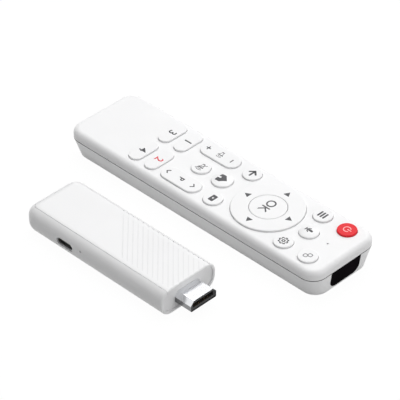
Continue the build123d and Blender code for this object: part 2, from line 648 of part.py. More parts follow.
# The app keys lie over the cells, so each one's stem stands at its outer end, beside the bay
APP_STEM = APP_KEY_LENGTH / 2 - APP_STEM_INSET
for name, (along, across) in APP_KEYS.items():
    outward = 1 if across > 0 else -1
    app_key = key_cap(along, across, APP_KEY_WIDTH, APP_KEY_LENGTH, [(0, outward * APP_STEM)])
    app_key.label = name
    export_step(app_key, f"parts/{name}.step")

# The dial is a ring round the OK key. It is cut away below so that the OK key's flange moves inside it
DIAL_CENTRE = (DIAL_ROW, 0.0)
DIAL_RADIUS = DIAL_DIAMETER / 2
OK_FLANGE_RADIUS = OK_KEY_DIAMETER / 2 + 2 * FLANGE_RIM
OK_RECESS_RADIUS = DIAL_RADIUS - DIAL_WALL
DIAL_WEB_BASE = FLANGE_TOP + OK_FLANGE_RADIUS * BOTH_WAYS_SLOPE + TILT_ALLOWANCE / 2
DIAL_FLANGE_TOP = FLANGE_TOP - DIAL_DROP
DIAL_FLANGE_BASE = DIAL_FLANGE_TOP - FLANGE_THICKNESS
ARROW_PLACES = [(side * DIAL_ARROW_RADIUS, 0) for side in (-1, 1)]
ARROW_PLACES += [(0, side * DIAL_ARROW_RADIUS) for side in (-1, 1)]
with BuildPart() as dial_flange:
    with BuildSketch(remote_plane(*DIAL_CENTRE, DIAL_FLANGE_BASE)):
        Circle(DIAL_RADIUS + FLANGE_RIM)
        Circle(OK_RECESS_RADIUS, mode=Mode.SUBTRACT)
    extrude(amount=FLANGE_THICKNESS)
    add(Pos(0, 0, -DIAL_DROP) * key_room, mode=Mode.INTERSECT)
with BuildPart() as dial_ring:
    with BuildSketch(remote_plane(*DIAL_CENTRE, DIAL_FLANGE_BASE)):
        Circle(DIAL_RADIUS)
    extrude(amount=KEY_TOP - DIAL_FLANGE_BASE)
    with BuildSketch(remote_plane(*DIAL_CENTRE, DIAL_FLANGE_BASE)):
        Circle(OK_KEY_DIAMETER / 2 + KEY_CLEARANCE)
    extrude(amount=KEY_TOP - DIAL_FLANGE_BASE, mode=Mode.SUBTRACT)
    fillet(dial_ring.faces().sort_by(Axis.Z)[-1].edges(), KEY_EDGE_RADIUS)
    with BuildSketch(remote_plane(*DIAL_CENTRE, DIAL_FLANGE_BASE)):
        Circle(OK_RECESS_RADIUS)
    extrude(amount=DIAL_WEB_BASE - DIAL_FLANGE_BASE, mode=Mode.SUBTRACT)
    add(dial_flange)
    with BuildSketch(remote_plane(*DIAL_CENTRE, STEM_BASE)):
        with Locations(*ARROW_PLACES):
            Circle(DIAL_STEM_RADIUS)
    extrude(amount=DIAL_WEB_BASE - STEM_BASE)
dial_ring.part.label = "dial_ring"
export_step(dial_ring.part, "parts/dial_ring.step")

with BuildPart() as ok_key:
    with BuildSketch(remote_plane(*DIAL_CENTRE, FLANGE_BASE)):
        Circle(OK_KEY_DIAMETER / 2)
    extrude(amount=KEY_TOP - FLANGE_BASE)
    fillet(ok_key.faces().sort_by(Axis.Z)[-1].edges(), KEY_EDGE_RADIUS)
    with BuildSketch(remote_plane(*DIAL_CENTRE, FLANGE_BASE)):
        Circle(OK_FLANGE_RADIUS)
    extrude(amount=FLANGE_THICKNESS)
    with BuildSketch(remote_plane(*DIAL_CENTRE, STEM_BASE)):
        Circle(STEM_RADIUS)
    extrude(amount=FLANGE_BASE - STEM_BASE)
ok_key.part.label = "ok_key"
export_step(ok_key.part, "parts/ok_key.step")

# The soft collar lies under the dial's flange and lets it tip both ways
COLLAR_INNER = DIAL_ARROW_RADIUS + STEM_RADIUS
COLLAR_TOP = DIAL_FLANGE_BASE - DIAL_RADIUS * DIAL_SLOPE - TILT_ALLOWANCE
with BuildPart() as dial_collar:
    with BuildSketch(remote_plane(*DIAL_CENTRE, COLLAR_TOP - COLLAR_THICKNESS)):
        Circle(DIAL_RADIUS - FLANGE_RIM)
        Circle(COLLAR_INNER, mode=Mode.SUBTRACT)
    extrude(amount=COLLAR_THICKNESS)
dial_collar.part.label = "dial_collar"
export_step(dial_collar.part, "parts/dial_collar.step")

# The top case: the form above the seam with a hole for every key and one for the microphone
with BuildPart() as remote_top_case:
    add(remote_form)
    add(remote_cavity, mode=Mode.SUBTRACT)
    add(slab(REMOTE_SEAM_Z + REMOTE_SEAM_GAP, KEY_TOP), mode=Mode.INTERSECT)
    for along, across, diameter in ROUND_KEYS.values():
        hole = key_face(remote_plane(along, across, REMOTE_SEAM_Z), diameter, diameter, KEY_CLEARANCE)
        extrude(hole, amount=REMOTE_HEIGHT, mode=Mode.SUBTRACT)
    for across in ROCKERS.values():
        hole = key_face(remote_plane(ROCKER_ROW, across, REMOTE_SEAM_Z), ROCKER_LENGTH, ROCKER_WIDTH,
                        KEY_CLEARANCE)
        extrude(hole, amount=REMOTE_HEIGHT, mode=Mode.SUBTRACT)
    for along, across in APP_KEYS.values():
        hole = key_face(remote_plane(along, across, REMOTE_SEAM_Z), APP_KEY_WIDTH, APP_KEY_LENGTH,
                        KEY_CLEARANCE)
        extrude(hole, amount=REMOTE_HEIGHT, mode=Mode.SUBTRACT)
    for along, diameter in ((DIAL_ROW, DIAL_DIAMETER + 2 * KEY_CLEARANCE), (POWER_ROW, MIC_HOLE_DIAMETER)):
        with BuildSketch(remote_plane(along, 0, REMOTE_SEAM_Z)):
            Circle(diameter / 2)
        extrude(amount=REMOTE_HEIGHT, mode=Mode.SUBTRACT)
remote_top_case.part.label = "remote_top_case"
export_step(remote_top_case.part, "parts/remote_top_case.step")

# The battery bay and its door. The door ends in the case's rounded end wall, so it slides out that way
BAY_START = -REMOTE_FRONT + BAY_SETBACK
CELL_OVERALL = CELL_LENGTH + CELL_NUB_LENGTH
BAY_END = BAY_START + 2 * PLATE_THICKNESS + SPRING_LENGTH + CELL_OVERALL + 2 * CELL_GAP
DOOR_FRONT = BAY_END + DOOR_OVERHANG
RAIL_SPAN = (-REMOTE_FRONT + RAIL_SETBACK, DOOR_FRONT - DOOR_OVERHANG)


def door_block(end, top, ease):
    """A block as wide as the door, from past the case's near end to the given end and top."""
    length = REMOTE_LENGTH + end
    with BuildPart(remote_plane(end - length / 2, 0, -REMOTE_WALL)) as block:
        Box(length, DOOR_WIDTH - 2 * ease, top + REMOTE_WALL, align=STANDING)
    return block.part


def door_field(ease):
    """The space that the door takes from the case, drawn in by ease."""
    with BuildPart() as field:
        add(door_block(DOOR_FRONT - ease, DOOR_THICKNESS + DOOR_GAP / 2 - ease / 2, ease))
        add(door_block(BAY_START - BAY_END_WALL - ease, DOOR_TOP_Z - ease, ease))
    return field.part


def rails(grow):
    """Two thin rails along the door's sides, grown by grow, and run out to the end where they are cut."""
    start = -REMOTE_LENGTH if grow else RAIL_SPAN[0]
    length = RAIL_SPAN[1] + grow - start
    with BuildPart(remote_plane(start + length / 2, 0, RAIL_Z - grow)) as pair:
        Box(length, DOOR_WIDTH + 2 * (RAIL_WIDTH + grow), RAIL_THICKNESS + 2 * grow, align=STANDING)
        Box(length, DOOR_WIDTH - 2 * RAIL_WIDTH, REMOTE_WALL, align=STANDING, mode=Mode.SUBTRACT)
    return pair.part


def window_field(ease):
    """The block that parts the signal window from the case, drawn in by ease."""
    height = REMOTE_SEAM_Z - WINDOW_SILL - ease
    plane = Plane((REMOTE_X + REMOTE_FRONT - REMOTE_PLAN_RADIUS, REMOTE_Y, REMOTE_SEAM_Z - height / 2),
                  x_dir=(0, 1, 0), z_dir=(1, 0, 0))
    with BuildPart() as field:
        with BuildSketch(plane) as outline:
            Rectangle(WINDOW_WIDTH - 2 * ease, height)
            fillet(outline.vertices().group_by(Axis.Y)[0], WINDOW_CORNER_RADIUS)
        extrude(amount=2 * REMOTE_PLAN_RADIUS)
    return field.part


SCREW_ROWS = ((POWER_ROW + MENU_ROW) / 2, (DIAL_ROW + BACK_ROW) / 2)
SCREW_PLACES = [(x, side * SCREW_OFFSET) for x in SCREW_ROWS for side in (-1, 1)]
ARM_PLACES = [(APP_ROWS[1], side * ARM_OFFSET) for side in (-1, 1)]


def lip_ring(outer, low, high):
    """A thin ring inside the case wall, from the outer inset inwards and from low to high."""
    with BuildPart() as ring:
        add(remote_block(outer))
        add(remote_block(REMOTE_WALL + SNUG_GAP + LIP_THICKNESS), mode=Mode.SUBTRACT)
        add(slab(low, high), mode=Mode.INTERSECT)
    return ring.part


# The bottom case: the tub with a lip that reaches up inside the top case, the bay and the board's posts
with BuildPart() as remote_bottom_case:
    add(remote_form)
    add(remote_cavity, mode=Mode.SUBTRACT)
    add(slab(-REMOTE_WALL, REMOTE_SEAM_Z), mode=Mode.INTERSECT)
    add(lip_ring(REMOTE_WALL - SNUG_GAP, REMOTE_SEAM_Z - LIP_ROOT, REMOTE_SEAM_Z))
    add(lip_ring(REMOTE_WALL + SNUG_GAP, REMOTE_SEAM_Z - LIP_ROOT / 2, REMOTE_SEAM_Z + LIP_HEIGHT))
    with BuildSketch(remote_plane((BAY_START + BAY_END) / 2, 0, REMOTE_WALL)):
        Rectangle(BAY_END - BAY_START + 2 * BAY_END_WALL, 2 * (BAY_HALF_WIDTH + BAY_WALL))
    extrude(amount=REMOTE_SEAM_Z - REMOTE_WALL)
    with BuildSketch(remote_plane((BAY_START + BAY_END) / 2, 0)):
        Rectangle(BAY_END - BAY_START, 2 * BAY_HALF_WIDTH)
    extrude(amount=REMOTE_SEAM_Z + LIP_HEIGHT, mode=Mode.SUBTRACT)
    with BuildSketch(remote_plane(z=REMOTE_WALL)):
        with Locations(*SCREW_PLACES, *ARM_PLACES):
            Circle(REMOTE_POST_RADIUS)
    extrude(amount=REMOTE_BOARD_BASE - REMOTE_WALL)
    with BuildSketch(remote_plane(z=REMOTE_BOARD_BASE - SCREW_LENGTH)):
        with Locations(*SCREW_PLACES):
            Circle(SCREW_DIAMETER / 2)
    extrude(amount=SCREW_LENGTH, mode=Mode.SUBTRACT)
    add(door_field(0), mode=Mode.SUBTRACT)
    add(rails(DOOR_GAP), mode=Mode.SUBTRACT)
    add(window_field(0), mode=Mode.SUBTRACT)
remote_bottom_case.part.label = "remote_bottom_case"
export_step(remote_bottom_case.part, "parts/remote_bottom_case.step")

with BuildPart() as battery_door:
    add(remote_form)
    add(remote_cavity, mode=Mode.SUBTRACT)
    add(door_field(DOOR_GAP), mode=Mode.INTERSECT)
    add(rails(0))
    with BuildSketch(remote_plane(DOOR_FRONT - DOOR_OVERHANG - GRIP_RIBS * GRIP_PITCH, 0)):
        with GridLocations(GRIP_PITCH, 1, GRIP_RIBS, 1):
            SlotOverall(GRIP_LENGTH, GRIP_WIDTH, rotation=CROSSWAYS)
    extrude(amount=GRIP_DEPTH, mode=Mode.SUBTRACT)
battery_door.part.label = "battery_door"
export_step(battery_door.part, "parts/battery_door.step")

with BuildPart() as signal_window:
    add(remote_form)
    add(remote_cavity, mode=Mode.SUBTRACT)
    add(window_field(SNUG_GAP), mode=Mode.INTERSECT)
signal_window.part.label = "signal_window"
export_step(signal_window.part, "parts/signal_window.step")

# The board forks round the battery bay, and the key mat over it has the same outline
NOTCH_X = BAY_END + BAY_END_WALL + MAT_MARGIN
NOTCH_HALF_WIDTH = BAY_HALF_WIDTH + BAY_WALL + MAT_MARGIN
BOARD_NEAR_X = APP_ROWS[1] - APP_KEY_WIDTH
BOARD_FAR_X = REMOTE_FRONT - REMOTE_WALL - BOARD_END_MARGIN
KEY_STEMS = [(place[0] + STEM_SHIFTS.get(name, 0), place[1]) for name, place in ROUND_KEYS.items()]
KEY_STEMS += [(ROCKER_ROW + end * ROCKER_STEM, side * ARM_OFFSET) for side in (-1, 1) for end in (-1, 1)]
KEY_STEMS += [(along, across + APP_STEM) for along, across in APP_KEYS.values() if across > 0]
KEY_STEMS += [(along, across - APP_STEM) for along, across in APP_KEYS.values() if across < 0]
KEY_STEMS += [(DIAL_ROW + x, y) for x, y in ARROW_PLACES] + [DIAL_CENTRE]


def fork(z, margin):
    """The fork-shaped outline of the board at height z, drawn in by margin."""
    near, far = BOARD_NEAR_X + margin, BOARD_FAR_X - margin
    with BuildSketch(remote_plane((near + far) / 2, 0, z)) as outline:
        RectangleRounded(far - near, REMOTE_BOARD_WIDTH - 2 * margin, REMOTE_BOARD_CORNER - margin)
        with Locations((-(far - near) / 2, 0)):
            Rectangle(2 * (NOTCH_X + margin - near), 2 * (NOTCH_HALF_WIDTH + margin), mode=Mode.SUBTRACT)
    return outline.sketch


def discs(places, z, radius):
    """Like circles on the remote at height z, one at each place."""
    with BuildSketch(remote_plane(z=z)) as circles:
        with Locations(*places):
            Circle(radius)
    return circles.sketch


with BuildPart() as remote_board:
    extrude(fork(REMOTE_BOARD_BASE, 0), amount=REMOTE_BOARD_THICKNESS)
    extrude(discs(SCREW_PLACES, REMOTE_BOARD_BASE, SCREW_DIAMETER / 2 + SNUG_GAP),
            amount=REMOTE_BOARD_THICKNESS, mode=Mode.SUBTRACT)
remote_board.part.label = "remote_board"
export_step(remote_board.part, "parts/remote_board.step")

with BuildPart() as contact_domes:
    extrude(discs(KEY_STEMS, REMOTE_BOARD_TOP, DOME_DIAMETER / 2), amount=DOME_THICKNESS)
contact_domes.part.label = "contact_domes"
export_step(contact_domes.part, "parts/contact_domes.step")

with BuildPart() as key_mat:
    extrude(fork(DOME_TOP, MAT_MARGIN), amount=MAT_THICKNESS)
    extrude(discs(KEY_STEMS, MAT_Z, PAD_RADIUS), amount=MAT_PAD_HEIGHT)
    extrude(discs(SCREW_PLACES, DOME_TOP, SCREW_HEAD_DIAMETER / 2 + MAT_MARGIN),
            amount=MAT_THICKNESS, mode=Mode.SUBTRACT)
key_mat.part.label = "key_mat"
export_step(key_mat.part, "parts/key_mat.step")

with BuildPart() as board_screws:
    extrude(discs(SCREW_PLACES, REMOTE_BOARD_TOP, SCREW_HEAD_DIAMETER / 2), amount=SCREW_HEAD_HEIGHT)
    screw_reach = REMOTE_BOARD_THICKNESS + SCREW_LENGTH - SCREW_DIAMETER
    extrude(discs(SCREW_PLACES, REMOTE_BOARD_TOP - screw_reach, SCREW_DIAMETER / 2 - SNUG_GAP),
            amount=screw_reach)
    with BuildSketch(remote_plane(z=REMOTE_BOARD_TOP + SCREW_HEAD_HEIGHT / 2)):
        with Locations(*SCREW_PLACES):
            Rectangle(SCREW_DIAMETER, SCREW_HEAD_HEIGHT / 2)
            Rectangle(SCREW_HEAD_HEIGHT / 2, SCREW_DIAMETER)
    extrude(amount=SCREW_HEAD_HEIGHT, mode=Mode.SUBTRACT)
board_screws.part.label = "board_screws"
export_step(board_screws.part, "parts/board_screws.step")

# Under the board: the signal lamp behind its window, the microphone and the remote's one chip
LAMP_Z = REMOTE_BOARD_BASE - LAMP_DIAMETER / 2 - SNUG_GAP
with BuildPart() as signal_lamp:
    lamp_front = REMOTE_X + REMOTE_FRONT - REMOTE_END_DRAW_IN - REMOTE_WALL - LAMP_GAP
    lamp_plane = Plane((lamp_front - LAMP_LENGTH, REMOTE_Y, LAMP_Z), x_dir=(0, 1, 0), z_dir=(1, 0, 0))
    with BuildSketch(lamp_plane):
        Circle(LAMP_DIAMETER / 2)
    extrude(amount=LAMP_LENGTH)
    fillet(signal_lamp.faces().sort_by(Axis.X)[-1].edges(), LAMP_DIAMETER / 2 - SNUG_GAP)
signal_lamp.part.label = "signal_lamp"
export_step(signal_lamp.part, "parts/signal_lamp.step")

with BuildPart(remote_plane(BACK_ROW, 0, REMOTE_BOARD_BASE)) as remote_chip:
    Box(*REMOTE_CHIP_SIZE, align=HANGING)
remote_chip.part.label = "remote_chip"
export_step(remote_chip.part, "parts/remote_chip.step")

with BuildPart() as microphone:
    with BuildSketch(remote_plane(POWER_ROW - MICROPHONE_DIAMETER, 0, REMOTE_BOARD_BASE - MICROPHONE_HEIGHT)):
        Circle(MICROPHONE_DIAMETER / 2)
    extrude(amount=MICROPHONE_HEIGHT)
microphone.part.label = "microphone"
export_step(microphone.part, "parts/microphone.step")


def along_bay(start, across):
    """An upright plane across the bay at start, facing +X, on one cell's axis."""
    return Plane((REMOTE_X + start, REMOTE_Y + across, CELL_AXIS_Z), x_dir=(0, 1, 0), z_dir=(1, 0, 0))


# Each cell's nub meets a plate and its flat end a spring, and the two cells lie opposite ways
SPRING_SEATS = (BAY_START + PLATE_THICKNESS, BAY_END - PLATE_THICKNESS)
CELL_STARTS = (SPRING_SEATS[0] + SPRING_LENGTH + CELL_GAP, SPRING_SEATS[0] + CELL_GAP)
with BuildPart() as battery_cells:
    for facing, start in zip((1, -1), CELL_STARTS):
        across = facing * CELL_PITCH / 2
        body_start = start if facing > 0 else start + CELL_NUB_LENGTH
        with BuildSketch(along_bay(body_start, across)):
            Circle(CELL_DIAMETER / 2)
        extrude(amount=CELL_LENGTH)
        with BuildSketch(along_bay(start if facing < 0 else start + CELL_LENGTH, across)):
            Circle(CELL_NUB_DIAMETER / 2)
        extrude(amount=CELL_NUB_LENGTH)
battery_cells.part.label = "battery_cells"
export_step(battery_cells.part, "parts/battery_cells.step")

with BuildPart() as battery_springs:
    for facing, seat in zip((1, -1), SPRING_SEATS):
        across = facing * CELL_PITCH / 2
        cone = Cone(SPRING_BASE_RADIUS, SPRING_TIP_RADIUS, SPRING_LENGTH, align=STANDING, mode=Mode.PRIVATE)
        bore = Cone(SPRING_BASE_RADIUS - SPRING_WALL, SPRING_TIP_RADIUS - SPRING_WALL, SPRING_LENGTH,
                    align=STANDING, mode=Mode.PRIVATE)
        seat_plane = Plane((REMOTE_X + seat, REMOTE_Y + across, CELL_AXIS_Z), z_dir=(facing, 0, 0))
        add(seat_plane.location * (cone - bore))
battery_springs.part.label = "battery_springs"
export_step(battery_springs.part, "parts/battery_springs.step")

with BuildPart() as battery_plates:
    with BuildSketch(along_bay(BAY_START, 0)):
        Rectangle(CELL_PITCH + PLATE_WIDTH, PLATE_WIDTH)
    extrude(amount=PLATE_THICKNESS)
    with BuildSketch(along_bay(BAY_END - PLATE_THICKNESS, 0)):
        with GridLocations(CELL_PITCH, 1, 2, 1):
            Rectangle(PLATE_WIDTH, PLATE_WIDTH)
    extrude(amount=PLATE_THICKNESS)
battery_plates.part.label = "battery_plates"
export_step(battery_plates.part, "parts/battery_plates.step")
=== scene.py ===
"""Dresses the streaming stick and its remote control: finishes, printed key marks, springs and stage."""

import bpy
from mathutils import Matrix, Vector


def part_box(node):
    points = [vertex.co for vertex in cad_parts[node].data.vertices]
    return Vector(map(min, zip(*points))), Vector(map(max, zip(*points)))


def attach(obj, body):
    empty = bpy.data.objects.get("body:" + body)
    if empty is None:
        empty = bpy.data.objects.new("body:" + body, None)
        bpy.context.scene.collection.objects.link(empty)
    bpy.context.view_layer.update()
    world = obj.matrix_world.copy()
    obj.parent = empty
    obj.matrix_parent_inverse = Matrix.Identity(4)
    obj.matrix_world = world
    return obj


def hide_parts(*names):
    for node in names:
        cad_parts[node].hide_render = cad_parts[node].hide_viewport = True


bl_info = {
    "name": "Streaming Stick and Remote",
    "version": (1, 0, 0),
    "blender": (4, 5, 0),
    "location": "View3D > Sidebar > Streaming Stick",
    "description": "Finishes, key marks and small parts for a streaming stick and its remote control",
    "category": "Object",
}

from math import atan2, cos, degrees, radians, sin

import bmesh
import bpy
from bpy.props import FloatProperty, FloatVectorProperty, PointerProperty
from mathutils import Vector
from mathutils.bvhtree import BVHTree

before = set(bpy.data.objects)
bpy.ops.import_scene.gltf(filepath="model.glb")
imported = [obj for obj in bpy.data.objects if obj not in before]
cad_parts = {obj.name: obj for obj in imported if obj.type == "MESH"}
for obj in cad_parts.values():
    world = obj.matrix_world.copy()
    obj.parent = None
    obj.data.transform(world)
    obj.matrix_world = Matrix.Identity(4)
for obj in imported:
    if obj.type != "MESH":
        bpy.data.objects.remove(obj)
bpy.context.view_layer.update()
MM = 0.001


class Number:
    """A number socket of a material, so that what is done with it reads as a sum."""

    def __init__(self, bench, socket):
        self.bench = bench
        self.socket = socket

    def __add__(self, other):
        return self.bench.number("ADD", self, other)

    def __radd__(self, other):
        return self.bench.number("ADD", other, self)

    def __sub__(self, other):
        return self.bench.number("SUBTRACT", self, other)

    def __rsub__(self, other):
        return self.bench.number("SUBTRACT", other, self)

    def __mul__(self, other):
        return self.bench.number("MULTIPLY", self, other)

    def __rmul__(self, other):
        return self.bench.number("MULTIPLY", other, self)

    def __truediv__(self, other):
        return self.bench.number("DIVIDE", self, other)

    def __gt__(self, other):
        return self.bench.number("GREATER_THAN", self, other)

    def __lt__(self, other):
        return self.bench.number("LESS_THAN", self, other)

    def fold(self):
        """The distance to the nearest whole number, which repeats a pattern."""
        return self.bench.number("PINGPONG", self, 0.5)

    def absolute(self):
        return self.bench.number("ABSOLUTE", self)

    def clamped(self):
        return self.bench.number("MINIMUM", self.bench.number("MAXIMUM", self, 0.0), 1.0)

    def ramp(self, low, high):
        """0 below low and 1 above high, with a soft step between."""
        made = self.bench.node("ShaderNodeMapRange", {"interpolation_type": "SMOOTHSTEP"},
                               {"Value": self, "From Min": low, "From Max": high})
        return Number(self.bench, made.outputs["Result"])


class Bench:
    """The node tree of one material."""

    def __init__(self, name):
        self.material = bpy.data.materials.new(name)
        self.material.use_nodes = True
        self.tree = self.material.node_tree
        self.tree.nodes.clear()
        self.output = self.tree.nodes.new("ShaderNodeOutputMaterial")
        self.place = self.node("ShaderNodeTexCoord").outputs["Object"]
        parts = self.node("ShaderNodeSeparateXYZ", {}, {"Vector": self.place})
        self.x = Number(self, parts.outputs["X"])
        self.y = Number(self, parts.outputs["Y"])
        self.z = Number(self, parts.outputs["Z"])

    def node(self, kind, settings=None, sockets=None):
        """A node of the given kind, with its settings made first and then its sockets set or linked."""
        made = self.tree.nodes.new(kind)
        for name, value in (settings or {}).items():
            setattr(made, name, value)
        for name, value in (sockets or {}).items():
            target = made.inputs[name]
            if isinstance(value, Number):
                self.tree.links.new(value.socket, target)
            elif isinstance(value, bpy.types.NodeSocket):
                self.tree.links.new(value, target)
            else:
                target.default_value = value
        return made

    def number(self, operation, *values):
        sockets = {index: value for index, value in enumerate(values)}
        made = self.node("ShaderNodeMath", {"operation": operation}, sockets)
        return Number(self, made.outputs[0])

    def mix(self, factor, first, second):
        """One colour going over into another."""
        made = self.node("ShaderNodeMix", {"data_type": "RGBA"}, {0: factor, 6: first, 7: second})
        return made.outputs[2]

    def stretched(self, scale):
        """Object coordinates scaled along each axis."""
        made = self.node("ShaderNodeVectorMath", {"operation": "MULTIPLY"}, {0: self.place, 1: scale})
        return made.outputs[0]

    def noise(self, size, detail=2.0, roughness=0.5, vector=None):
        """Soft noise from 0 to 1 whose spots are about size metres across."""
        made = self.node("ShaderNodeTexNoise", {"noise_dimensions": "3D"},
                         {"Vector": vector or self.place, "Scale": 1.0 / size, "Detail": detail,
                          "Roughness": roughness})
        return Number(self, made.outputs["Fac"])

    def spots(self, size, vector=None):
        """The distance to the nearest of many scattered points, in cells of about size metres."""
        made = self.node("ShaderNodeTexVoronoi", {"feature": "F1"},
                         {"Vector": vector or self.place, "Scale": 1.0 / size})
        return Number(self, made.outputs["Distance"])

    def edges(self, radius):
        """1 on the edges that stick out or in within the radius, and 0 on flat faces."""
        soft = self.node("ShaderNodeBevel", {"samples": 4}, {"Radius": radius}).outputs["Normal"]
        true = self.node("ShaderNodeNewGeometry").outputs["Normal"]
        dot = self.node("ShaderNodeVectorMath", {"operation": "DOT_PRODUCT"}, {0: soft, 1: true})
        return (1.0 - Number(self, dot.outputs["Value"])).ramp(0.02, 0.25)

    def bump(self, height, distance, strength=1.0):
        made = self.node("ShaderNodeBump", {}, {"Height": height, "Distance": distance, "Strength": strength})
        return made.outputs["Normal"]

    def finish(self, **sockets):
        """Joins a Principled shader with the given sockets to the output, and gives the material back."""
        named = {name.replace("_", " "): value for name, value in sockets.items()}
        shader = self.node("ShaderNodeBsdfPrincipled", {}, named)
        self.tree.links.new(shader.outputs[0], self.output.inputs["Surface"])
        return self.material


def opaque(colour):
    return (colour[0], colour[1], colour[2], 1.0)


def shade(colour, factor):
    return (colour[0] * factor, colour[1] * factor, colour[2] * factor, 1.0)


def moulded_plastic(name, colour, roughness=0.38, grain=0.00022, height=0.00001, wear=0.05, shine=0.5,
                    seam_shade=None, groove_shade_floor=None):
    """Satin moulded plastic: spark-eroded grain, a slow drift in tone, and a polish where hands rub.

    The lowest and the highest point of a parting gap may be given: the band between them, inside the gap, is
    painted dark as shade. A groove is what lies a little below the groove floor, away from the rounded sides,
    and it is painted slightly darker as shade."""
    b = Bench(name)
    drift = b.noise(0.03, 3.0)
    fine = b.noise(grain, 2.0, 0.6)
    rub = b.edges(0.0008)
    smudge = b.noise(0.012, 4.0, 0.6).ramp(0.5, 0.75)
    base = b.mix(drift.ramp(0.3, 0.7), shade(colour, 0.975), opaque(colour))
    wear_and_painted_shade = b.mix(rub * (b.noise(0.002, 3.0).ramp(0.45, 0.7) * wear), base, shade(colour, 0.72))
    if seam_shade:
        # The band inside the parting gap is painted dark as shade.
        wear_and_painted_shade = b.mix((b.z > seam_shade[0]) * (b.z < seam_shade[1]), wear_and_painted_shade, shade(colour, 0.12))
    if groove_shade_floor:
        # Groove floors are painted slightly darker as shade.
        shallow = (b.z < groove_shade_floor) * (b.z > groove_shade_floor - GROOVE_REACH)
        groove = shallow * (b.y.absolute() < GROOVED_HALF_WIDTH)
        wear_and_painted_shade = b.mix(groove, wear_and_painted_shade, shade(colour, 0.93))
    rough = (roughness + (drift - 0.5) * 0.08 + smudge * 0.05 - rub * 0.07).clamped()
    return b.finish(Base_Color=wear_and_painted_shade, Roughness=rough, Normal=b.bump(fine, height, 0.6),
                    Specular_IOR_Level=shine, IOR=1.49)


def printed_ink(name, colour):
    """Screen-printed ink: a thin matt film with a faint mesh texture."""
    b = Bench(name)
    mottle = b.noise(0.0004, 3.0)
    base = b.mix(mottle.ramp(0.35, 0.7), opaque(colour), shade(colour, 1.25))
    return b.finish(Base_Color=base, Roughness=0.5 + mottle * 0.15, Normal=b.bump(mottle, 0.000004, 0.5))


def bright_plating(name, colour, roughness=0.13, shade_below=None, shade_beyond=None):
    """Bright nickel plating over rolled sheet: fine lines one way, wipe marks and duller edges.

    Below a given height it is painted darker as a painted reflection, and beyond a given x it is painted
    near-black as shade."""
    b = Bench(name)
    lines = b.noise(0.012, 3.0, 0.6, b.stretched((60.0, 1.0, 60.0)))
    wipe = b.noise(0.004, 4.0, 0.65)
    rub = b.edges(0.0003)
    base = b.mix(wipe.ramp(0.4, 0.75), opaque(colour), shade(colour, 0.92))
    scuffed_and_shaded = b.mix(rub * 0.3, base, shade(colour, 0.8))
    if shade_below:
        # Painted reflection: below this height the plating is painted darker.
        scuffed_and_shaded = b.mix(1.0 - b.z.ramp(shade_below - 0.0002, shade_below + 0.0002), scuffed_and_shaded, shade(colour, 0.3))
    if shade_beyond:
        # Painted shade: beyond this x the tip is painted near-black.
        scuffed_and_shaded = b.mix(b.x > shade_beyond, scuffed_and_shaded, shade(colour, 0.05))
    rough = (roughness + lines * 0.06 + wipe.ramp(0.5, 0.8) * 0.07 + rub * 0.08).clamped()
    return b.finish(Base_Color=scuffed_and_shaded, Metallic=1.0, Roughness=rough, Normal=b.bump(lines, 0.000003, 0.4))


def dull_sheet(name, colour, roughness=0.36):
    """Tinned or nickel-silver sheet: cloudy, with rolling lines and small scratches."""
    b = Bench(name)
    cloud = b.noise(0.003, 4.0, 0.6)
    lines = b.noise(0.02, 3.0, 0.6, b.stretched((4.0, 90.0, 90.0)))
    scratch = b.noise(0.002, 2.0, 0.5, b.stretched((12.0, 0.6, 3.0))).ramp(0.7, 0.74)
    base = b.mix(cloud.ramp(0.35, 0.7), opaque(colour), shade(colour, 0.82))
    rough = (roughness + cloud * 0.18 + scratch * 0.15).clamped()
    return b.finish(Base_Color=base, Metallic=1.0, Roughness=rough,
                    Normal=b.bump(lines + scratch, 0.000005, 0.5))


def gold_flash(name, colour):
    """Thin gold over nickel, paler where contacts have wiped it."""
    b = Bench(name)
    wiped = b.noise(0.001, 3.0).ramp(0.5, 0.72)
    base = b.mix(wiped * 0.5, opaque(colour), (0.86, 0.78, 0.55, 1.0))
    return b.finish(Base_Color=base, Metallic=1.0, Roughness=0.2 + b.noise(0.0006, 2.0) * 0.15,
                    Normal=b.bump(b.noise(0.0002, 2.0), 0.000003, 0.4))


def board_laminate(name, colour, pitch=0.0009):
    """Solder mask over copper: straight tracks and round pads show through, raised a little and paler."""
    b = Bench(name)
    zone = b.noise(0.006, 0.0).ramp(0.49, 0.51)
    along = (b.x / pitch).fold()
    across = (b.y / pitch).fold()
    lane = along * zone + across * (1.0 - zone)
    track = 1.0 - lane.ramp(0.12, 0.18)
    pad = 1.0 - b.spots(0.0032).ramp(0.13, 0.16)
    top_metal = b.mix(pad, b.mix(track, opaque(colour), shade(colour, 1.9)), (0.72, 0.68, 0.55, 1.0))
    relief = track * 0.5 + pad
    rough = (0.32 - pad * 0.05 + b.noise(0.002, 3.0) * 0.12).clamped()
    return b.finish(Base_Color=top_metal, Metallic=pad * 0.85, Roughness=rough,
                    Normal=b.bump(relief, 0.00002, 0.7))


def chip_resin(name, colour):
    """Moulded epoxy: a fine speckle, with a slow change from matt to slightly shiny."""
    b = Bench(name)
    speckle = b.noise(0.00012, 2.0, 0.7)
    cloud = b.noise(0.004, 2.0)
    base = b.mix(speckle.ramp(0.55, 0.75), opaque(colour), shade(colour, 2.2))
    return b.finish(Base_Color=base, Roughness=0.5 + cloud * 0.15, Normal=b.bump(speckle, 0.000012, 0.6))


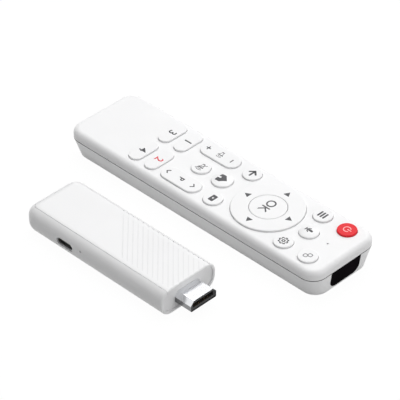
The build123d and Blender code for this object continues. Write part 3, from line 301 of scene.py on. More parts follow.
def soft_rubber(name, colour, shine=0.55, subsurface=0.1):
    """Silicone: a little light goes through, with a faint bloom and dust on it."""
    b = Bench(name)
    bloom = b.noise(0.006, 4.0, 0.6)
    dust = b.noise(0.0005, 2.0, 0.8).ramp(0.68, 0.76)
    base = b.mix(bloom.ramp(0.35, 0.7), opaque(colour), shade(colour, 0.9))
    return b.finish(Base_Color=b.mix(dust * 0.3, base, (0.8, 0.8, 0.78, 1.0)), Roughness=shine + bloom * 0.15,
                    Normal=b.bump(b.noise(0.0004, 3.0), 0.00001, 0.5), Subsurface_Weight=subsurface,
                    Subsurface_Scale=0.001)


def dark_lens(name, colour):
    """Polished tinted lens: near black, with hairline polishing marks and a trace of dust."""
    b = Bench(name)
    haze = b.noise(0.008, 3.0)
    hairline = b.noise(0.0012, 2.0, 0.5, b.stretched((1.0, 9.0, 1.0))).ramp(0.68, 0.72)
    base = b.mix(haze.ramp(0.3, 0.8), opaque(colour), shade(colour, 1.8))
    rough = (0.28 + haze * 0.08 + hairline * 0.08).clamped()
    return b.finish(Base_Color=base, Roughness=rough, Normal=b.bump(hairline, 0.000001, 0.3),
                    Specular_IOR_Level=0.15, IOR=1.04)


REMOTE_MIDDLE = Vector((0.00545, 0.0519, 0.0))
# The remote's parting gap: the band of heights painted dark as shade
REMOTE_SEAM_SHADE_BAND = (0.00944, 0.00977)
KEY_TOP = 0.0148
# Where the rows and columns of keys lie, in millimetres from the remote's middle
ROW = {"power": 59.99, "menu": 46.93, "voice": 50.05, "dial": 27.75, "back": 7.94, "home": 2.15,
       "rocker": -10.05, "app_far": -25.95, "app_near": -35.15}
SIDE = 11.5
APP_SIDE = 8.5
# The stick's grooves, whose floors get painted shade: the height just under the cover's top, how far down
# they count, and half their width
GROOVE_SHADE_FLOOR = 0.01256
GROOVE_REACH = 0.001
GROOVED_HALF_WIDTH = 0.0098
# Below this height the plug's lower side is painted darker as a painted reflection, and beyond this x its tip
# is painted near-black as shade
PLUG_SIDE_SHADE_TOP = 0.0063
PLUG_TIP_SHADE_START = 0.04797
# Sizes and stroke weights of the numbers and letters
NUMBER_HEIGHT, NUMBER_WEIGHT = 0.0052, 0.08
CHANNEL_HEIGHT, CHANNEL_WEIGHT = 0.0038, 0.1
OK_WEIGHT = 0.06
OK_STRETCH = 1.42
OK_SHIFT = (-0.4, 0.2)
# A battery spring: its length, the radii of its two ends, and how far it is from the bay's middle
SPRING_LENGTH = 0.0016
SPRING_BASE, SPRING_TIP = 0.0032, 0.0022
SPRING_ACROSS = 0.0053
# Name, place, size and power of each soft lamp
LAMPS = (("overhead_lamp", (-0.2, 0.3, 1.0), (1.0, 1.0), 8.8),
         ("far_lamp", (-0.3, 1.1, 0.7), (0.8, 0.6), 3.0),
         ("plug_end_lamp", (1.1, 0.1, 0.35), (0.6, 0.5), 2.6))
INK_DARK = (0.045, 0.045, 0.05)
INK_GREY = (0.19, 0.19, 0.2)
INK_WHITE = (0.95, 0.5, 0.5)
INK_RED = (0.62, 0.07, 0.09)


class CasingSettings(bpy.types.PropertyGroup):
    """Colours of the two casings and of the power key, and the size of the mould grain."""
    white: FloatVectorProperty(name="Casing White", description="Colour of both casings and most keys",
                               default=(0.86, 0.86, 0.865), subtype="COLOR", min=0.0, max=1.0)
    red: FloatVectorProperty(name="Power Key Red", description="Colour of the power key",
                             default=(0.8, 0.025, 0.035), subtype="COLOR", min=0.0, max=1.0)
    grain: FloatProperty(name="Mould Grain", description="Size of the moulded surface's grain",
                         default=0.00022, subtype="DISTANCE", unit="LENGTH")


class MarkSettings(bpy.types.PropertyGroup):
    """Sizes of the printed key marks."""
    film: FloatProperty(name="Ink Film", description="How far the ink stands on a key",
                        default=0.00002, subtype="DISTANCE", unit="LENGTH")
    stroke: FloatProperty(name="Stroke", description="Width of a printed line",
                          default=0.0005, subtype="DISTANCE", unit="LENGTH")
    letter: FloatProperty(name="Letter Height", description="Height of the letters on the middle key",
                          default=0.0041, subtype="DISTANCE", unit="LENGTH")


class InsideSettings(bpy.types.PropertyGroup):
    """The battery springs."""
    wire: FloatProperty(name="Spring Wire", description="Thickness of the battery springs' wire",
                        default=0.0005, subtype="DISTANCE", unit="LENGTH")
    turns: FloatProperty(name="Spring Turns", description="Turns of each battery spring",
                         default=3.5, min=1.0)


class StageSettings(bpy.types.PropertyGroup):
    """The camera."""
    azimuth: FloatProperty(name="Azimuth", description="Turn of the camera round the object",
                           default=radians(44.64), subtype="ANGLE", unit="ROTATION")
    elevation: FloatProperty(name="Elevation", description="Height of the camera as an angle",
                             default=radians(37.87), subtype="ANGLE", unit="ROTATION")
    distance: FloatProperty(name="Distance", description="Distance from the camera to its target",
                            default=1.0239, subtype="DISTANCE", unit="LENGTH")
    target: FloatVectorProperty(name="Target", description="Point in the middle of the picture",
                                default=(-0.00273, 0.04935, 0.0), subtype="XYZ_LENGTH", unit="LENGTH")
    lens: FloatProperty(name="Lens", description="Focal length in millimetres", default=223.5, unit="CAMERA")


def dress(material, *nodes):
    """Gives CAD nodes their finish."""
    for name in nodes:
        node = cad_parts[name]
        slots = node.material_slots
        if not slots:
            node.data.materials.append(material)
        for slot in slots:
            slot.material = material


def key_point(u, v, along, across, z=KEY_TOP / MM):
    """A point of a mark, in metres. From the key's middle u is to the reader's right and v up, in mm."""
    return Vector((REMOTE_MIDDLE.x + (along + v) * MM, REMOTE_MIDDLE.y + (across - u) * MM, z * MM))


def arc(radius, start, end, steps=40, centre=(0.0, 0.0)):
    """Points along an arc, with its angles in degrees anticlockwise from the reader's right."""
    angles = [radians(start + (end - start) * step / steps) for step in range(steps + 1)]
    return [(centre[0] + radius * cos(angle), centre[1] + radius * sin(angle)) for angle in angles]


def circle(radius, centre=(0.0, 0.0), steps=48):
    return arc(radius, 0, 360, steps, centre)[:-1]


def stroked(points, width):
    """The outline of an open line drawn with a pen of the given width and round ends."""
    half = width / 2
    left, right = [], []
    count = len(points)
    for index, (x, y) in enumerate(points):
        before = points[max(index - 1, 0)]
        after = points[min(index + 1, count - 1)]
        run = Vector((after[0] - before[0], after[1] - before[1])).normalized()
        if 0 < index < count - 1:
            leg = Vector((x - before[0], y - before[1])).normalized()
            reach = half / max(run.dot(leg), 0.5)
        else:
            reach = half
        left.append((x - run.y * reach, y + run.x * reach))
        right.append((x + run.y * reach, y - run.x * reach))
    head_turn = degrees(atan2(points[-1][1] - points[-2][1], points[-1][0] - points[-2][0]))
    tail_turn = degrees(atan2(points[1][1] - points[0][1], points[1][0] - points[0][0]))
    cap_end = arc(half, head_turn + 90, head_turn - 90, 8, points[-1])
    cap_start = arc(half, tail_turn + 270, tail_turn + 90, 8, points[0])
    return left[1:-1] + cap_end + right[-2:0:-1] + cap_start


def rounded_box(width, height, radius, centre=(0.0, 0.0)):
    """A closed outline of a box with round corners."""
    x, y = width / 2 - radius, height / 2 - radius
    points = []
    for corner, start in (((x, y), 0), ((-x, y), 90), ((-x, -y), 180), ((x, -y), 270)):
        middle = (centre[0] + corner[0], centre[1] + corner[1])
        points += arc(radius, start, start + 90, 6, middle)
    return points


def flat_mesh(name, outlines):
    """A flat mesh in millimetres from closed outlines. One outline inside another is a hole in it."""
    curve = bpy.data.curves.new(name, "CURVE")
    curve.dimensions = "2D"
    curve.fill_mode = "BOTH"
    for outline in outlines:
        spline = curve.splines.new("POLY")
        spline.points.add(len(outline) - 1)
        for point, (x, y) in zip(spline.points, outline):
            point.co = (x, y, 0.0, 1.0)
        spline.use_cyclic_u = True
    holder = bpy.data.objects.new(name, curve)
    bpy.context.collection.objects.link(holder)
    mesh = evaluated_mesh(holder)
    bpy.data.objects.remove(holder)
    bpy.data.curves.remove(curve)
    return mesh


def evaluated_mesh(holder):
    """The mesh that an object has once its modifiers or its curve are worked out."""
    bpy.context.view_layer.update()
    graph = bpy.context.evaluated_depsgraph_get()
    return bpy.data.meshes.new_from_object(holder.evaluated_get(graph), depsgraph=graph)


def letter_mesh(text, height, weight=0.05):
    """Generic letters or a number as a flat mesh in millimetres, with its middle at the origin."""
    words = bpy.data.curves.new("letters", "FONT")
    words.body = text
    words.size = height / MM
    words.align_x = "CENTER"
    words.align_y = "CENTER"
    words.offset = weight
    holder = bpy.data.objects.new("letters", words)
    bpy.context.collection.objects.link(holder)
    mesh = evaluated_mesh(holder)
    bpy.data.objects.remove(holder)
    bpy.data.curves.remove(words)
    low = Vector([min(v.co[axis] for v in mesh.vertices) for axis in range(3)])
    high = Vector([max(v.co[axis] for v in mesh.vertices) for axis in range(3)])
    for vertex in mesh.vertices:
        vertex.co.x = vertex.co.x - (low.x + high.x) / 2
        vertex.co.y = vertex.co.y - (low.y + high.y) / 2
    return mesh


def print_mark(name, body, node, meshes, along, across, material, film):
    """Lays flat meshes as an ink film on a key's top, following it where it is domed."""
    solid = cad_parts[node]
    tree = BVHTree.FromPolygons([v.co for v in solid.data.vertices],
                                [tuple(p.vertices) for p in solid.data.polygons])
    built = bmesh.new()
    for mesh in meshes:
        built.from_mesh(mesh)
        bpy.data.meshes.remove(mesh)
    bmesh.ops.remove_doubles(built, verts=built.verts, dist=0.001)
    for lane in range(-12, 13):
        for normal in ((1.0, 0.0, 0.0), (0.0, 1.0, 0.0)):
            cut = Vector(normal) * lane * 0.6
            bmesh.ops.bisect_plane(built, geom=built.verts[:] + built.edges[:] + built.faces[:],
                                   plane_co=cut, plane_no=normal)
    for vertex in built.verts:
        place = key_point(vertex.co.x, vertex.co.y, along, across, 20.0)
        hit = tree.ray_cast(place, Vector((0.0, 0.0, -1.0)))[0]
        vertex.co = (place.x, place.y, (hit.z if hit else KEY_TOP) + film)
    bmesh.ops.recalc_face_normals(built, faces=built.faces)
    upward = sum(face.normal.z * face.calc_area() for face in built.faces)
    if upward < 0:
        bmesh.ops.reverse_faces(built, faces=built.faces)
    under = bmesh.ops.extrude_face_region(built, geom=built.faces[:])
    for vertex in [part for part in under["geom"] if isinstance(part, bmesh.types.BMVert)]:
        vertex.co.z -= 2.0 * film
    bmesh.ops.recalc_face_normals(built, faces=built.faces)
    mesh = bpy.data.meshes.new(name)
    built.to_mesh(mesh)
    built.free()
    mesh.materials.append(material)
    piece = bpy.data.objects.new(name, mesh)
    bpy.context.collection.objects.link(piece)
    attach(piece, body)
    return piece


def power_mark(pen):
    """A ring open at the top with an upright line in the gap."""
    return [[stroked(arc(1.5, 130, 410, 40), pen * 0.7)], [stroked([(0.0, 0.3), (0.0, 2.0)], pen * 0.7)]]


def source_mark(pen):
    """Two round-cornered squares in outline, one behind the other."""
    groups = []
    for shift in (-0.65, 0.65):
        outer = rounded_box(2.1, 2.1, 0.75, (-shift, shift))
        inner = rounded_box(2.1 - 1.6 * pen, 2.1 - 1.6 * pen, 0.45, (-shift, shift))
        groups.append([outer, inner])
    return groups


def menu_mark(pen):
    """Three short lines."""
    return [[stroked([(-1.4, v), (1.4, v)], pen * 1.7)] for v in (-1.35, 0.0, 1.35)]


def gear_mark(pen):
    """A gear in outline with a ring in its middle."""
    rim = []
    for tooth in range(8):
        turn = tooth * 45.0
        rim += arc(2.25, turn - 10, turn + 10, 3) + arc(1.8, turn + 15, turn + 30, 3)
    return [[rim, [(x * 0.72, y * 0.72) for x, y in rim]], [circle(0.85), circle(0.85 - pen)]]


def voice_mark(pen):
    """A microphone on its stand."""
    return [[rounded_box(1.15, 2.3, 0.57, (0.0, 0.75))], [stroked(arc(1.15, 190, 350, 24, (0.0, 0.45)), pen)],
            [stroked([(0.0, -0.75), (0.0, -1.55)], pen)], [stroked([(-0.65, -1.6), (0.65, -1.6)], pen)]]


def back_mark(pen):
    """An arrow that points to the reader's left."""
    return [[stroked([(-1.4, 0.0), (1.6, 0.0)], pen * 1.7)],
            [stroked([(-0.2, 1.7), (-1.8, 0.0), (-0.2, -1.7)], pen * 1.7)]]


def home_mark(pen):
    """A solid house with a door."""
    return [[[(-2.4, 0.1), (-2.4, -2.2), (-pen, -2.2), (-pen, -0.7), (pen, -0.7), (pen, -2.2), (2.4, -2.2),
              (2.4, 0.1), (0.0, 2.5)]]]


def guide_mark(pen):
    """A solid screen with a small play mark left open in it."""
    return [[rounded_box(3.9, 2.5, 0.4), [(-0.45, -0.55), (0.6, 0.0), (-0.45, 0.55)]]]


def speaker_outline(width, shift=0.0):
    """The outline of a loudspeaker."""
    return [(shift - width, -0.6), (shift - width * 0.45, -0.6), (shift + width * 0.35, -1.5),
            (shift + width * 0.35, 1.5), (shift - width * 0.45, 0.6), (shift - width, 0.6)]


def speaker_lines(width, shift):
    """A loudspeaker drawn in outline."""
    outline = speaker_outline(width, shift)
    middle = shift - width * 0.325
    inner = [(middle + (x - middle) * 0.62, y * 0.62) for x, y in outline]
    return [outline, inner]


def mute_mark(pen):
    """A loudspeaker in outline, with two waves and a line struck across it."""
    return [speaker_lines(2.1, -0.1), [stroked(arc(1.2, -42, 42, 8, (0.2, 0.0)), pen * 0.6)],
            [stroked(arc(1.95, -42, 42, 10, (0.2, 0.0)), pen * 0.6)],
            [stroked([(-2.0, 1.7), (1.6, -1.9)], pen * 0.6)]]


def plus_mark(pen):
    """A plus."""
    return [[stroked([(-1.0, 0.0), (1.0, 0.0)], pen)], [stroked([(0.0, -1.0), (0.0, 1.0)], pen)]]


def minus_mark(pen):
    """A minus."""
    return [[stroked([(-0.9, 0.0), (0.9, 0.0)], pen)]]


def volume_mark(pen):
    """A loudspeaker in outline, with two waves."""
    return [speaker_lines(1.8, -0.2), [stroked(arc(1.1, -42, 42, 8), pen * 0.5)],
            [stroked(arc(1.8, -42, 42, 10), pen * 0.5)]]


def chevron_mark(pen):
    """An upward chevron."""
    return [[stroked([(-1.1, -0.55), (0.0, 0.55), (1.1, -0.55)], pen)]]


def mark_meshes(name, groups, u=0.0, v=0.0, flip=1.0):
    """Flat meshes of a mark's groups of outlines, moved by u and v. A flip of -1 turns it upside down."""
    meshes = []
    for number, group in enumerate(groups):
        moved = [[(x + u, flip * y + v) for x, y in outline] for outline in group]
        meshes.append(flat_mesh(f"{name}_{number}", moved))
    return meshes


ROUND_MARKS = (
    ("power_key", "power", -SIDE, power_mark, "white"),
    ("source_key", "power", SIDE, source_mark, "grey"),
    ("menu_key", "menu", -SIDE, menu_mark, "dark"),
    ("settings_key", "menu", SIDE, gear_mark, "dark"),
    ("voice_key", "voice", 0.0, voice_mark, "dark"),
    ("back_key", "back", -SIDE, back_mark, "dark"),
    ("guide_key", "back", SIDE, guide_mark, "dark"),
    ("home_key", "home", 0.0, home_mark, "dark"),
    ("mute_key", "rocker", 0.0, mute_mark, "dark"),
)
APP_MARKS = (
    ("app_key_1", "1", "app_far", -APP_SIDE, "dark"),
    ("app_key_2", "2", "app_far", APP_SIDE, "red"),
    ("app_key_3", "3", "app_near", -APP_SIDE, "dark"),
    ("app_key_4", "4", "app_near", APP_SIDE, "dark"),
)


def inks():
    return {"dark": printed_ink("ink_dark", INK_DARK), "grey": printed_ink("ink_grey", INK_GREY),
            "white": printed_ink("ink_white", INK_WHITE), "red": printed_ink("ink_red", INK_RED)}


def coil_tree(name):
    """A node tree that winds a tapering wire coil from a spiral."""
    tree = bpy.data.node_groups.new(name, "GeometryNodeTree")
    face = tree.interface
    face.new_socket("Geometry", in_out="OUTPUT", socket_type="NodeSocketGeometry")
    sockets = {}
    for label, value in (("Turns", 3.5), ("Base Radius", 0.003), ("Tip Radius", 0.002), ("Length", 0.0016),
                         ("Wire Radius", 0.00025)):
        made = face.new_socket(label, in_out="INPUT", socket_type="NodeSocketFloat")
        made.default_value = value
        sockets[label] = made.identifier
    made = face.new_socket("Material", in_out="INPUT", socket_type="NodeSocketMaterial")
    sockets["Material"] = made.identifier
    nodes, links = tree.nodes, tree.links
    given = nodes.new("NodeGroupInput")
    spiral = nodes.new("GeometryNodeCurveSpiral")
    spiral.inputs["Resolution"].default_value = 32
    for source, target in (("Turns", "Rotations"), ("Base Radius", "Start Radius"),
                           ("Tip Radius", "End Radius"), ("Length", "Height")):
        links.new(given.outputs[source], spiral.inputs[target])
    ring = nodes.new("GeometryNodeCurvePrimitiveCircle")
    ring.inputs["Resolution"].default_value = 10
    links.new(given.outputs["Wire Radius"], ring.inputs["Radius"])
    wire = nodes.new("GeometryNodeCurveToMesh")
    wire.inputs["Fill Caps"].default_value = True
    links.new(spiral.outputs["Curve"], wire.inputs["Curve"])
    links.new(ring.outputs["Curve"], wire.inputs["Profile Curve"])
    real = nodes.new("GeometryNodeRealizeInstances")
    links.new(wire.outputs["Mesh"], real.inputs["Geometry"])
    paint = nodes.new("GeometryNodeSetMaterial")
    links.new(real.outputs["Geometry"], paint.inputs["Geometry"])
    links.new(given.outputs["Material"], paint.inputs["Material"])
    result = nodes.new("NodeGroupOutput")
    links.new(paint.outputs["Geometry"], result.inputs["Geometry"])
    return tree, sockets


def grown_mesh(tree, sockets, values):
    """Runs a node tree with the given named inputs and returns its plain mesh."""
    holder = bpy.data.objects.new("holder", bpy.data.meshes.new("holder"))
    bpy.context.collection.objects.link(holder)
    modifier = holder.modifiers.new("grow", "NODES")
    modifier.node_group = tree
    for label, value in values.items():
        modifier[sockets[label]] = value
    mesh = evaluated_mesh(holder)
    holder.modifiers.remove(modifier)
    bpy.data.objects.remove(holder)
    return mesh


def link_piece(name, mesh, body):
    """Makes an object of a mesh that is already in place, riding on a body."""
    mesh.name = name
    piece = bpy.data.objects.new(name, mesh)
    bpy.context.collection.objects.link(piece)
    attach(piece, body)
    return piece


class STREAM_OT_casings(bpy.types.Operator):
    """Finishes both casings, the signal window and the battery door"""
    bl_idname = "stream.casings"
    bl_label = "Casings"

    def execute(self, context):
        given = context.scene.stream_casing
        white = given.white
        stick_shell = moulded_plastic("stick_white", white, 0.36, given.grain)
        dress(stick_shell, "stick_lower_shell")
        # The cover's groove floors get painted shade
        cover = moulded_plastic("cover_white_groove_shade", white, 0.36, given.grain, groove_shade_floor=GROOVE_SHADE_FLOOR)
        dress(cover, "stick_top_cover")
        dress(moulded_plastic("end_white", shade(white, 0.97), 0.42, given.grain), "end_plate")
        # The remote casings get painted shade in their parting gap
        remote_shell = moulded_plastic("remote_white_seam_shade", white, 0.4, given.grain, seam_shade=REMOTE_SEAM_SHADE_BAND)
        dress(remote_shell, "remote_top_case", "remote_bottom_case", "battery_door")
        dress(dark_lens("window_black", (0.003, 0.002, 0.003)), "signal_window")
        return {"FINISHED"}


class STREAM_OT_plug(bpy.types.Operator):
    """Finishes the video plug and the power socket"""
    bl_idname = "stream.plug"
    bl_label = "Plug and Socket"

    def execute(self, context):
        # The plug's lower side gets a painted reflection and its tip painted shade
        plating = bright_plating("plug_plating_painted_shade", (0.83, 0.84, 0.86), 0.12, PLUG_SIDE_SHADE_TOP, PLUG_TIP_SHADE_START)
        dress(plating, "plug_shell")
        dress(dull_sheet("socket_sheet", (0.62, 0.62, 0.63), 0.3), "socket_shell")
        dress(gold_flash("contact_gold", (0.85, 0.62, 0.25)), "plug_contacts", "socket_contacts")
        dress(chip_resin("insulator_black", (0.03, 0.03, 0.032)), "plug_insulator", "socket_tongue")
        return {"FINISHED"}


class STREAM_OT_keys(bpy.types.Operator):
    """Finishes the key caps, the dial and the reset plunger"""
    bl_idname = "stream.keys"
    bl_label = "Keys"

    def execute(self, context):
        given = context.scene.stream_casing
        white_key = moulded_plastic("key_white", given.white, 0.33, given.grain * 0.7, 0.000006, 0.08)
        dress(white_key, *[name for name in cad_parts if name.endswith("_key") and name != "power_key"])
        dress(white_key, *[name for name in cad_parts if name.startswith("app_key")])
        dress(white_key, "dial_ring", "volume_rocker", "channel_rocker")
        red_key = moulded_plastic("power_red", given.red, 0.3, given.grain * 0.7, 0.000006, 0.05, 0.15)
        dress(red_key, "power_key")
        dress(moulded_plastic("plunger_black", (0.02, 0.02, 0.022), 0.4), "reset_plunger")
        return {"FINISHED"}


class STREAM_OT_marks(bpy.types.Operator):
    """Prints the marks on the keys, the rockers and the dial"""
    bl_idname = "stream.marks"
    bl_label = "Key Marks"

    def execute(self, context):
        given = context.scene.stream_marks
        ink = inks()
        pen = given.stroke / MM
        for node, row, across, draw, colour in ROUND_MARKS:
            name = node.replace("_key", "_mark")
            print_mark(name, node, node, mark_meshes(name, draw(pen)), ROW[row], -across, ink[colour],
                       given.film)
        for node, number, row, across, colour in APP_MARKS:
            digit = letter_mesh(number, NUMBER_HEIGHT, NUMBER_WEIGHT)
            print_mark(f"{node}_number", node, node, [digit], ROW[row], -across, ink[colour], given.film)
        volume = mark_meshes("plus", plus_mark(pen), v=-6.9)
        volume += mark_meshes("speaker", volume_mark(pen))
        volume += mark_meshes("minus", minus_mark(pen), v=6.3)
        print_mark("volume_marks", "volume_rocker", "volume_rocker", volume, ROW["rocker"], SIDE,
                   ink["dark"], given.film)
        channel = mark_meshes("down", chevron_mark(pen), v=-7.6, flip=-1.0)
        channel += [letter_mesh("P", CHANNEL_HEIGHT, CHANNEL_WEIGHT)]
        channel += mark_meshes("up", chevron_mark(pen), v=6.7)
        print_mark("channel_marks", "channel_rocker", "channel_rocker", channel, ROW["rocker"], -SIDE,
                   ink["dark"], given.film)
        letters = letter_mesh("OK", given.letter * OK_STRETCH, OK_WEIGHT)
        print_mark("ok_mark", "ok_key", "ok_key", [letters], ROW["dial"] + OK_SHIFT[0], OK_SHIFT[1],
                   ink["dark"], given.film)
        return {"FINISHED"}


def arrow_tree(name):
    """A node tree that stands flat triangles round a circle, each with its tip pointing outwards."""
    tree = bpy.data.node_groups.new(name, "GeometryNodeTree")
    face = tree.interface
    face.new_socket("Geometry", in_out="OUTPUT", socket_type="NodeSocketGeometry")
    sockets = {}
    for label, kind, value in (("Count", "NodeSocketInt", 4), ("Circle Radius", "NodeSocketFloat", 0.0113),
                               ("Arrow Size", "NodeSocketFloat", 0.0017),
                               ("Film", "NodeSocketFloat", 0.00003)):
        made = face.new_socket(label, in_out="INPUT", socket_type=kind)
        made.default_value = value
        sockets[label] = made.identifier
    for label, kind in (("Middle", "NodeSocketVector"), ("Material", "NodeSocketMaterial")):
        sockets[label] = face.new_socket(label, in_out="INPUT", socket_type=kind).identifier
    nodes, links = tree.nodes, tree.links
    given = nodes.new("NodeGroupInput")
    ring = nodes.new("GeometryNodeMeshCircle")
    links.new(given.outputs["Count"], ring.inputs["Vertices"])
    links.new(given.outputs["Circle Radius"], ring.inputs["Radius"])
    arrow = nodes.new("GeometryNodeMeshCylinder")
    arrow.inputs["Vertices"].default_value = 3
    links.new(given.outputs["Arrow Size"], arrow.inputs["Radius"])
    links.new(given.outputs["Film"], arrow.inputs["Depth"])
    turn = nodes.new("FunctionNodeAlignRotationToVector")
    turn.axis = "X"
    turn.pivot_axis = "Z"
    links.new(nodes.new("GeometryNodeInputPosition").outputs["Position"], turn.inputs["Vector"])
    stand = nodes.new("GeometryNodeInstanceOnPoints")
    links.new(ring.outputs["Mesh"], stand.inputs["Points"])
    links.new(arrow.outputs["Mesh"], stand.inputs["Instance"])
    links.new(turn.outputs["Rotation"], stand.inputs["Rotation"])
    move = nodes.new("GeometryNodeTransform")
    links.new(stand.outputs["Instances"], move.inputs["Geometry"])
    links.new(given.outputs["Middle"], move.inputs["Translation"])
    real = nodes.new("GeometryNodeRealizeInstances")
    links.new(move.outputs["Geometry"], real.inputs["Geometry"])
    paint = nodes.new("GeometryNodeSetMaterial")
    links.new(real.outputs["Geometry"], paint.inputs["Geometry"])
    links.new(given.outputs["Material"], paint.inputs["Material"])
    result = nodes.new("NodeGroupOutput")
    links.new(paint.outputs["Geometry"], result.inputs["Geometry"])
    return tree, sockets


class STREAM_OT_dial_arrows(bpy.types.Operator):
    """Prints the four arrows on the dial"""
    bl_idname = "stream.dial_arrows"
    bl_label = "Dial Arrows"

    def execute(self, context):
        tree, sockets = arrow_tree("arrows_round_dial")
        film = context.scene.stream_marks.film
        middle = key_point(0.0, 0.0, ROW["dial"], 0.0)
        middle.z += film / 2
        ink = printed_ink("ink_arrows", INK_DARK)
        mesh = grown_mesh(tree, sockets, {"Middle": middle, "Film": film, "Material": ink})
        link_piece("dial_arrows", mesh, "dial_ring")
        return {"FINISHED"}


class STREAM_OT_inside(bpy.types.Operator):
    """Finishes the boards, the chips and the cooling stack"""
    bl_idname = "stream.inside"
    bl_label = "Inside"

    def execute(self, context):
        dress(board_laminate("board_green", (0.012, 0.09, 0.04)), "stick_board", "remote_board")
        resin = chip_resin("chip_resin", (0.015, 0.015, 0.017))
        dress(resin, "processor", "memory_chips", "flash_chip", "remote_chip", "reset_switch", "power_coils")
        can = dull_sheet("can_sheet", (0.66, 0.67, 0.69), 0.34)
        dress(can, "shield_can", "aerials", "clock_crystal", "radio_module", "microphone")
        dress(bright_plating("dome_steel", (0.74, 0.74, 0.75), 0.2), "contact_domes")
        dress(dull_sheet("spreader_aluminium", (0.78, 0.79, 0.8), 0.42), "heat_spreader")
        dress(soft_rubber("pad_grey", (0.3, 0.36, 0.42), 0.7, 0.0), "thermal_pad")
        dress(soft_rubber("mat_silicone", (0.62, 0.62, 0.6), 0.5, 0.25), "key_mat", "dial_collar")
        dress(bright_plating("screw_zinc", (0.6, 0.62, 0.66), 0.28), "board_screws")
        dress(dark_lens("lamp_resin", (0.09, 0.07, 0.12)), "signal_lamp")
        return {"FINISHED"}


def cell_sleeve(name):
    """A shrink sleeve round each cell: dark, with a copper band, bare metal ends and fine wrinkles."""
    b = Bench(name)
    low, high = frame_box("battery_cells")
    middle = (low.x + high.x) / 2
    side = (b.y - REMOTE_MIDDLE.y) > 0.0
    along = (b.x - middle) * (side * 2.0 - 1.0)
    metal_end = (along > 0.0213) + (along < -0.0220)
    band = (along > 0.0125) * (along < 0.0195)
    wrinkle = b.noise(0.0018, 3.0, 0.6, b.stretched((1.0, 0.3, 0.3)))
    sleeve = b.mix(band, (0.035, 0.045, 0.06, 1.0), (0.62, 0.36, 0.12, 1.0))
    base = b.mix(metal_end.clamped(), sleeve, (0.72, 0.72, 0.7, 1.0))
    metallic = (metal_end + band * 0.7).clamped()
    return b.finish(Base_Color=base, Metallic=metallic, Roughness=0.27 + wrinkle * 0.15,
                    Normal=b.bump(wrinkle, 0.00002, 0.4))


def frame_box(node):
    """A node's lowest and highest corners."""
    low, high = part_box(node)
    return Vector(low), Vector(high)


class STREAM_OT_battery(bpy.types.Operator):
    """Finishes the cells and plates, and winds the two springs"""
    bl_idname = "stream.battery"
    bl_label = "Battery Bay"

    def execute(self, context):
        given = context.scene.stream_inside
        dress(cell_sleeve("cell_sleeve"), "battery_cells")
        nickel = bright_plating("spring_nickel", (0.78, 0.78, 0.79), 0.16)
        dress(nickel, "battery_plates", "battery_springs")
        low, high = frame_box("battery_springs")
        tree, sockets = coil_tree("spring_coil")
        length = SPRING_LENGTH - given.wire
        whole = bmesh.new()
        for facing, seat_x in ((1, low.x), (-1, high.x)):
            half_wire = given.wire / 2
            mesh = grown_mesh(tree, sockets, {"Turns": given.turns, "Base Radius": SPRING_BASE - half_wire,
                                              "Tip Radius": SPRING_TIP - half_wire, "Length": length,
                                              "Wire Radius": half_wire, "Material": nickel})
            across = (low.y + high.y) / 2 + facing * SPRING_ACROSS
            height = (low.z + high.z) / 2
            for vertex in mesh.vertices:
                x, y, z = vertex.co
                vertex.co = (seat_x + facing * (z + half_wire), across + facing * x, height + y)
            whole.from_mesh(mesh)
            bpy.data.meshes.remove(mesh)
        bmesh.ops.recalc_face_normals(whole, faces=whole.faces)
        mesh = bpy.data.meshes.new("spring_coils")
        whole.to_mesh(mesh)
        whole.free()
        mesh.materials.clear()
        mesh.materials.append(nickel)
        for polygon in mesh.polygons:
            polygon.use_smooth = True
        springs = link_piece("spring_coils", mesh, "remote")
        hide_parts("battery_springs")
        return {"FINISHED"}


def area_lamp(name, place, target, size, power):
    """A large soft lamp at place that shines on target."""
    lamp = bpy.data.lights.new(name, "AREA")
    lamp.shape = "RECTANGLE"
    lamp.size, lamp.size_y = size
    lamp.energy = power
    holder = bpy.data.objects.new(name, lamp)
    holder.location = place
    holder.rotation_euler = (Vector(target) - Vector(place)).to_track_quat("-Z", "Y").to_euler()
    bpy.context.collection.objects.link(holder)
    return holder


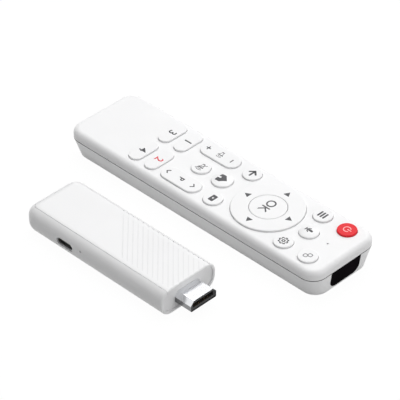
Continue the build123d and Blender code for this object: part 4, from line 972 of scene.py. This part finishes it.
class STREAM_OT_stage(bpy.types.Operator):
    """Sets the floor, the soft lamps and the camera at the photograph's angle"""
    bl_idname = "stream.stage"
    bl_label = "Stage"

    def execute(self, context):
        given = context.scene.stream_stage
        target = Vector(given.target)
        built = bmesh.new()
        bmesh.ops.create_grid(built, x_segments=1, y_segments=1, size=3.0)
        mesh = bpy.data.meshes.new("floor")
        built.to_mesh(mesh)
        built.free()
        floor = bpy.data.objects.new("floor", mesh)
        context.collection.objects.link(floor)
        mesh.materials.append(self.floor_paint())
        self.sky(context.scene)
        for name, place, size, power in LAMPS:
            area_lamp(name, place, target, size, power)
        camera = bpy.data.cameras.new("camera")
        camera.sensor_width = 36.0
        camera.lens = given.lens
        camera.clip_start = 0.01
        camera.clip_end = 20.0
        eye = bpy.data.objects.new("camera", camera)
        level = cos(given.elevation)
        look = Vector((-sin(given.azimuth) * level, cos(given.azimuth) * level, -sin(given.elevation)))
        eye.location = target - look * given.distance
        eye.rotation_euler = look.to_track_quat("-Z", "Y").to_euler()
        context.collection.objects.link(eye)
        context.scene.camera = eye
        context.scene.view_settings.view_transform = "Standard"
        return {"FINISHED"}

    def floor_paint(self):
        """White to the eye and in reflections, with the object's shadow kept faintly on it."""
        b = Bench("floor_white")
        grain = b.noise(0.02, 2.0)
        tone = b.mix(grain, (0.55, 0.55, 0.55, 1.0), (0.58, 0.58, 0.58, 1.0))
        paint = b.node("ShaderNodeBsdfDiffuse", {}, {"Color": tone})
        glow = b.node("ShaderNodeEmission", {}, {"Color": (1.0, 1.0, 1.0, 1.0), "Strength": 1.04})
        ray = b.node("ShaderNodeLightPath").outputs
        mirrored = Number(b, ray["Is Glossy Ray"]) + Number(b, ray["Is Transmission Ray"])
        share = (Number(b, ray["Is Camera Ray"]) + mirrored).clamped() * 0.93
        mixed = b.node("ShaderNodeMixShader", {}, {0: share, 1: paint.outputs[0], 2: glow.outputs[0]})
        b.tree.links.new(mixed.outputs[0], b.output.inputs["Surface"])
        return b.material

    def sky(self, scene):
        """A plain grey world that is white where the camera, metal or glass sees it."""
        world = bpy.data.worlds.new("sky")
        world.use_nodes = True
        tree = world.node_tree
        tree.nodes.clear()
        output = tree.nodes.new("ShaderNodeOutputWorld")
        soft = tree.nodes.new("ShaderNodeBackground")
        soft.inputs["Color"].default_value = (1.0, 1.0, 1.0, 1.0)
        soft.inputs["Strength"].default_value = 0.3
        white = tree.nodes.new("ShaderNodeBackground")
        white.inputs["Strength"].default_value = 1.0
        white.inputs["Color"].default_value = (1.0, 1.0, 1.0, 1.0)
        path = tree.nodes.new("ShaderNodeLightPath")
        mix = tree.nodes.new("ShaderNodeMixShader")
        seen = tree.nodes.new("ShaderNodeMath")
        seen.operation = "ADD"
        seen.use_clamp = True
        clear = tree.nodes.new("ShaderNodeMath")
        clear.operation = "ADD"
        tree.links.new(path.outputs["Is Glossy Ray"], clear.inputs[0])
        tree.links.new(path.outputs["Is Transmission Ray"], clear.inputs[1])
        tree.links.new(path.outputs["Is Camera Ray"], seen.inputs[0])
        tree.links.new(clear.outputs[0], seen.inputs[1])
        tree.links.new(seen.outputs[0], mix.inputs[0])
        tree.links.new(soft.outputs[0], mix.inputs[1])
        tree.links.new(white.outputs[0], mix.inputs[2])
        tree.links.new(mix.outputs[0], output.inputs["Surface"])
        scene.world = world


class STREAM_PT_panel(bpy.types.Panel):
    """Lists the steps in the 3D view's sidebar"""
    bl_label = "Streaming Stick"
    bl_idname = "STREAM_PT_panel"
    bl_space_type = "VIEW_3D"
    bl_region_type = "UI"
    bl_category = "Streaming Stick"

    def draw(self, context):
        for settings in (context.scene.stream_casing, context.scene.stream_marks,
                         context.scene.stream_inside, context.scene.stream_stage):
            column = self.layout.column(align=True)
            for name in settings.__annotations__:
                column.prop(settings, name)
        for step in STEPS:
            self.layout.operator(step.bl_idname)


STEPS = (STREAM_OT_casings, STREAM_OT_plug, STREAM_OT_keys, STREAM_OT_marks, STREAM_OT_dial_arrows,
         STREAM_OT_inside, STREAM_OT_battery, STREAM_OT_stage)
SETTINGS = {"stream_casing": CasingSettings, "stream_marks": MarkSettings, "stream_inside": InsideSettings,
            "stream_stage": StageSettings}


def register():
    for kind in (*SETTINGS.values(), *STEPS, STREAM_PT_panel):
        bpy.utils.register_class(kind)
    for name, kind in SETTINGS.items():
        setattr(bpy.types.Scene, name, PointerProperty(type=kind))


def unregister():
    for name in SETTINGS:
        delattr(bpy.types.Scene, name)
    for kind in reversed((*SETTINGS.values(), *STEPS, STREAM_PT_panel)):
        bpy.utils.unregister_class(kind)


def main():
    register()
    for step in STEPS:
        area, name = step.bl_idname.split(".")
        getattr(getattr(bpy.ops, area), name)()


if __name__ == "__main__":
    main()
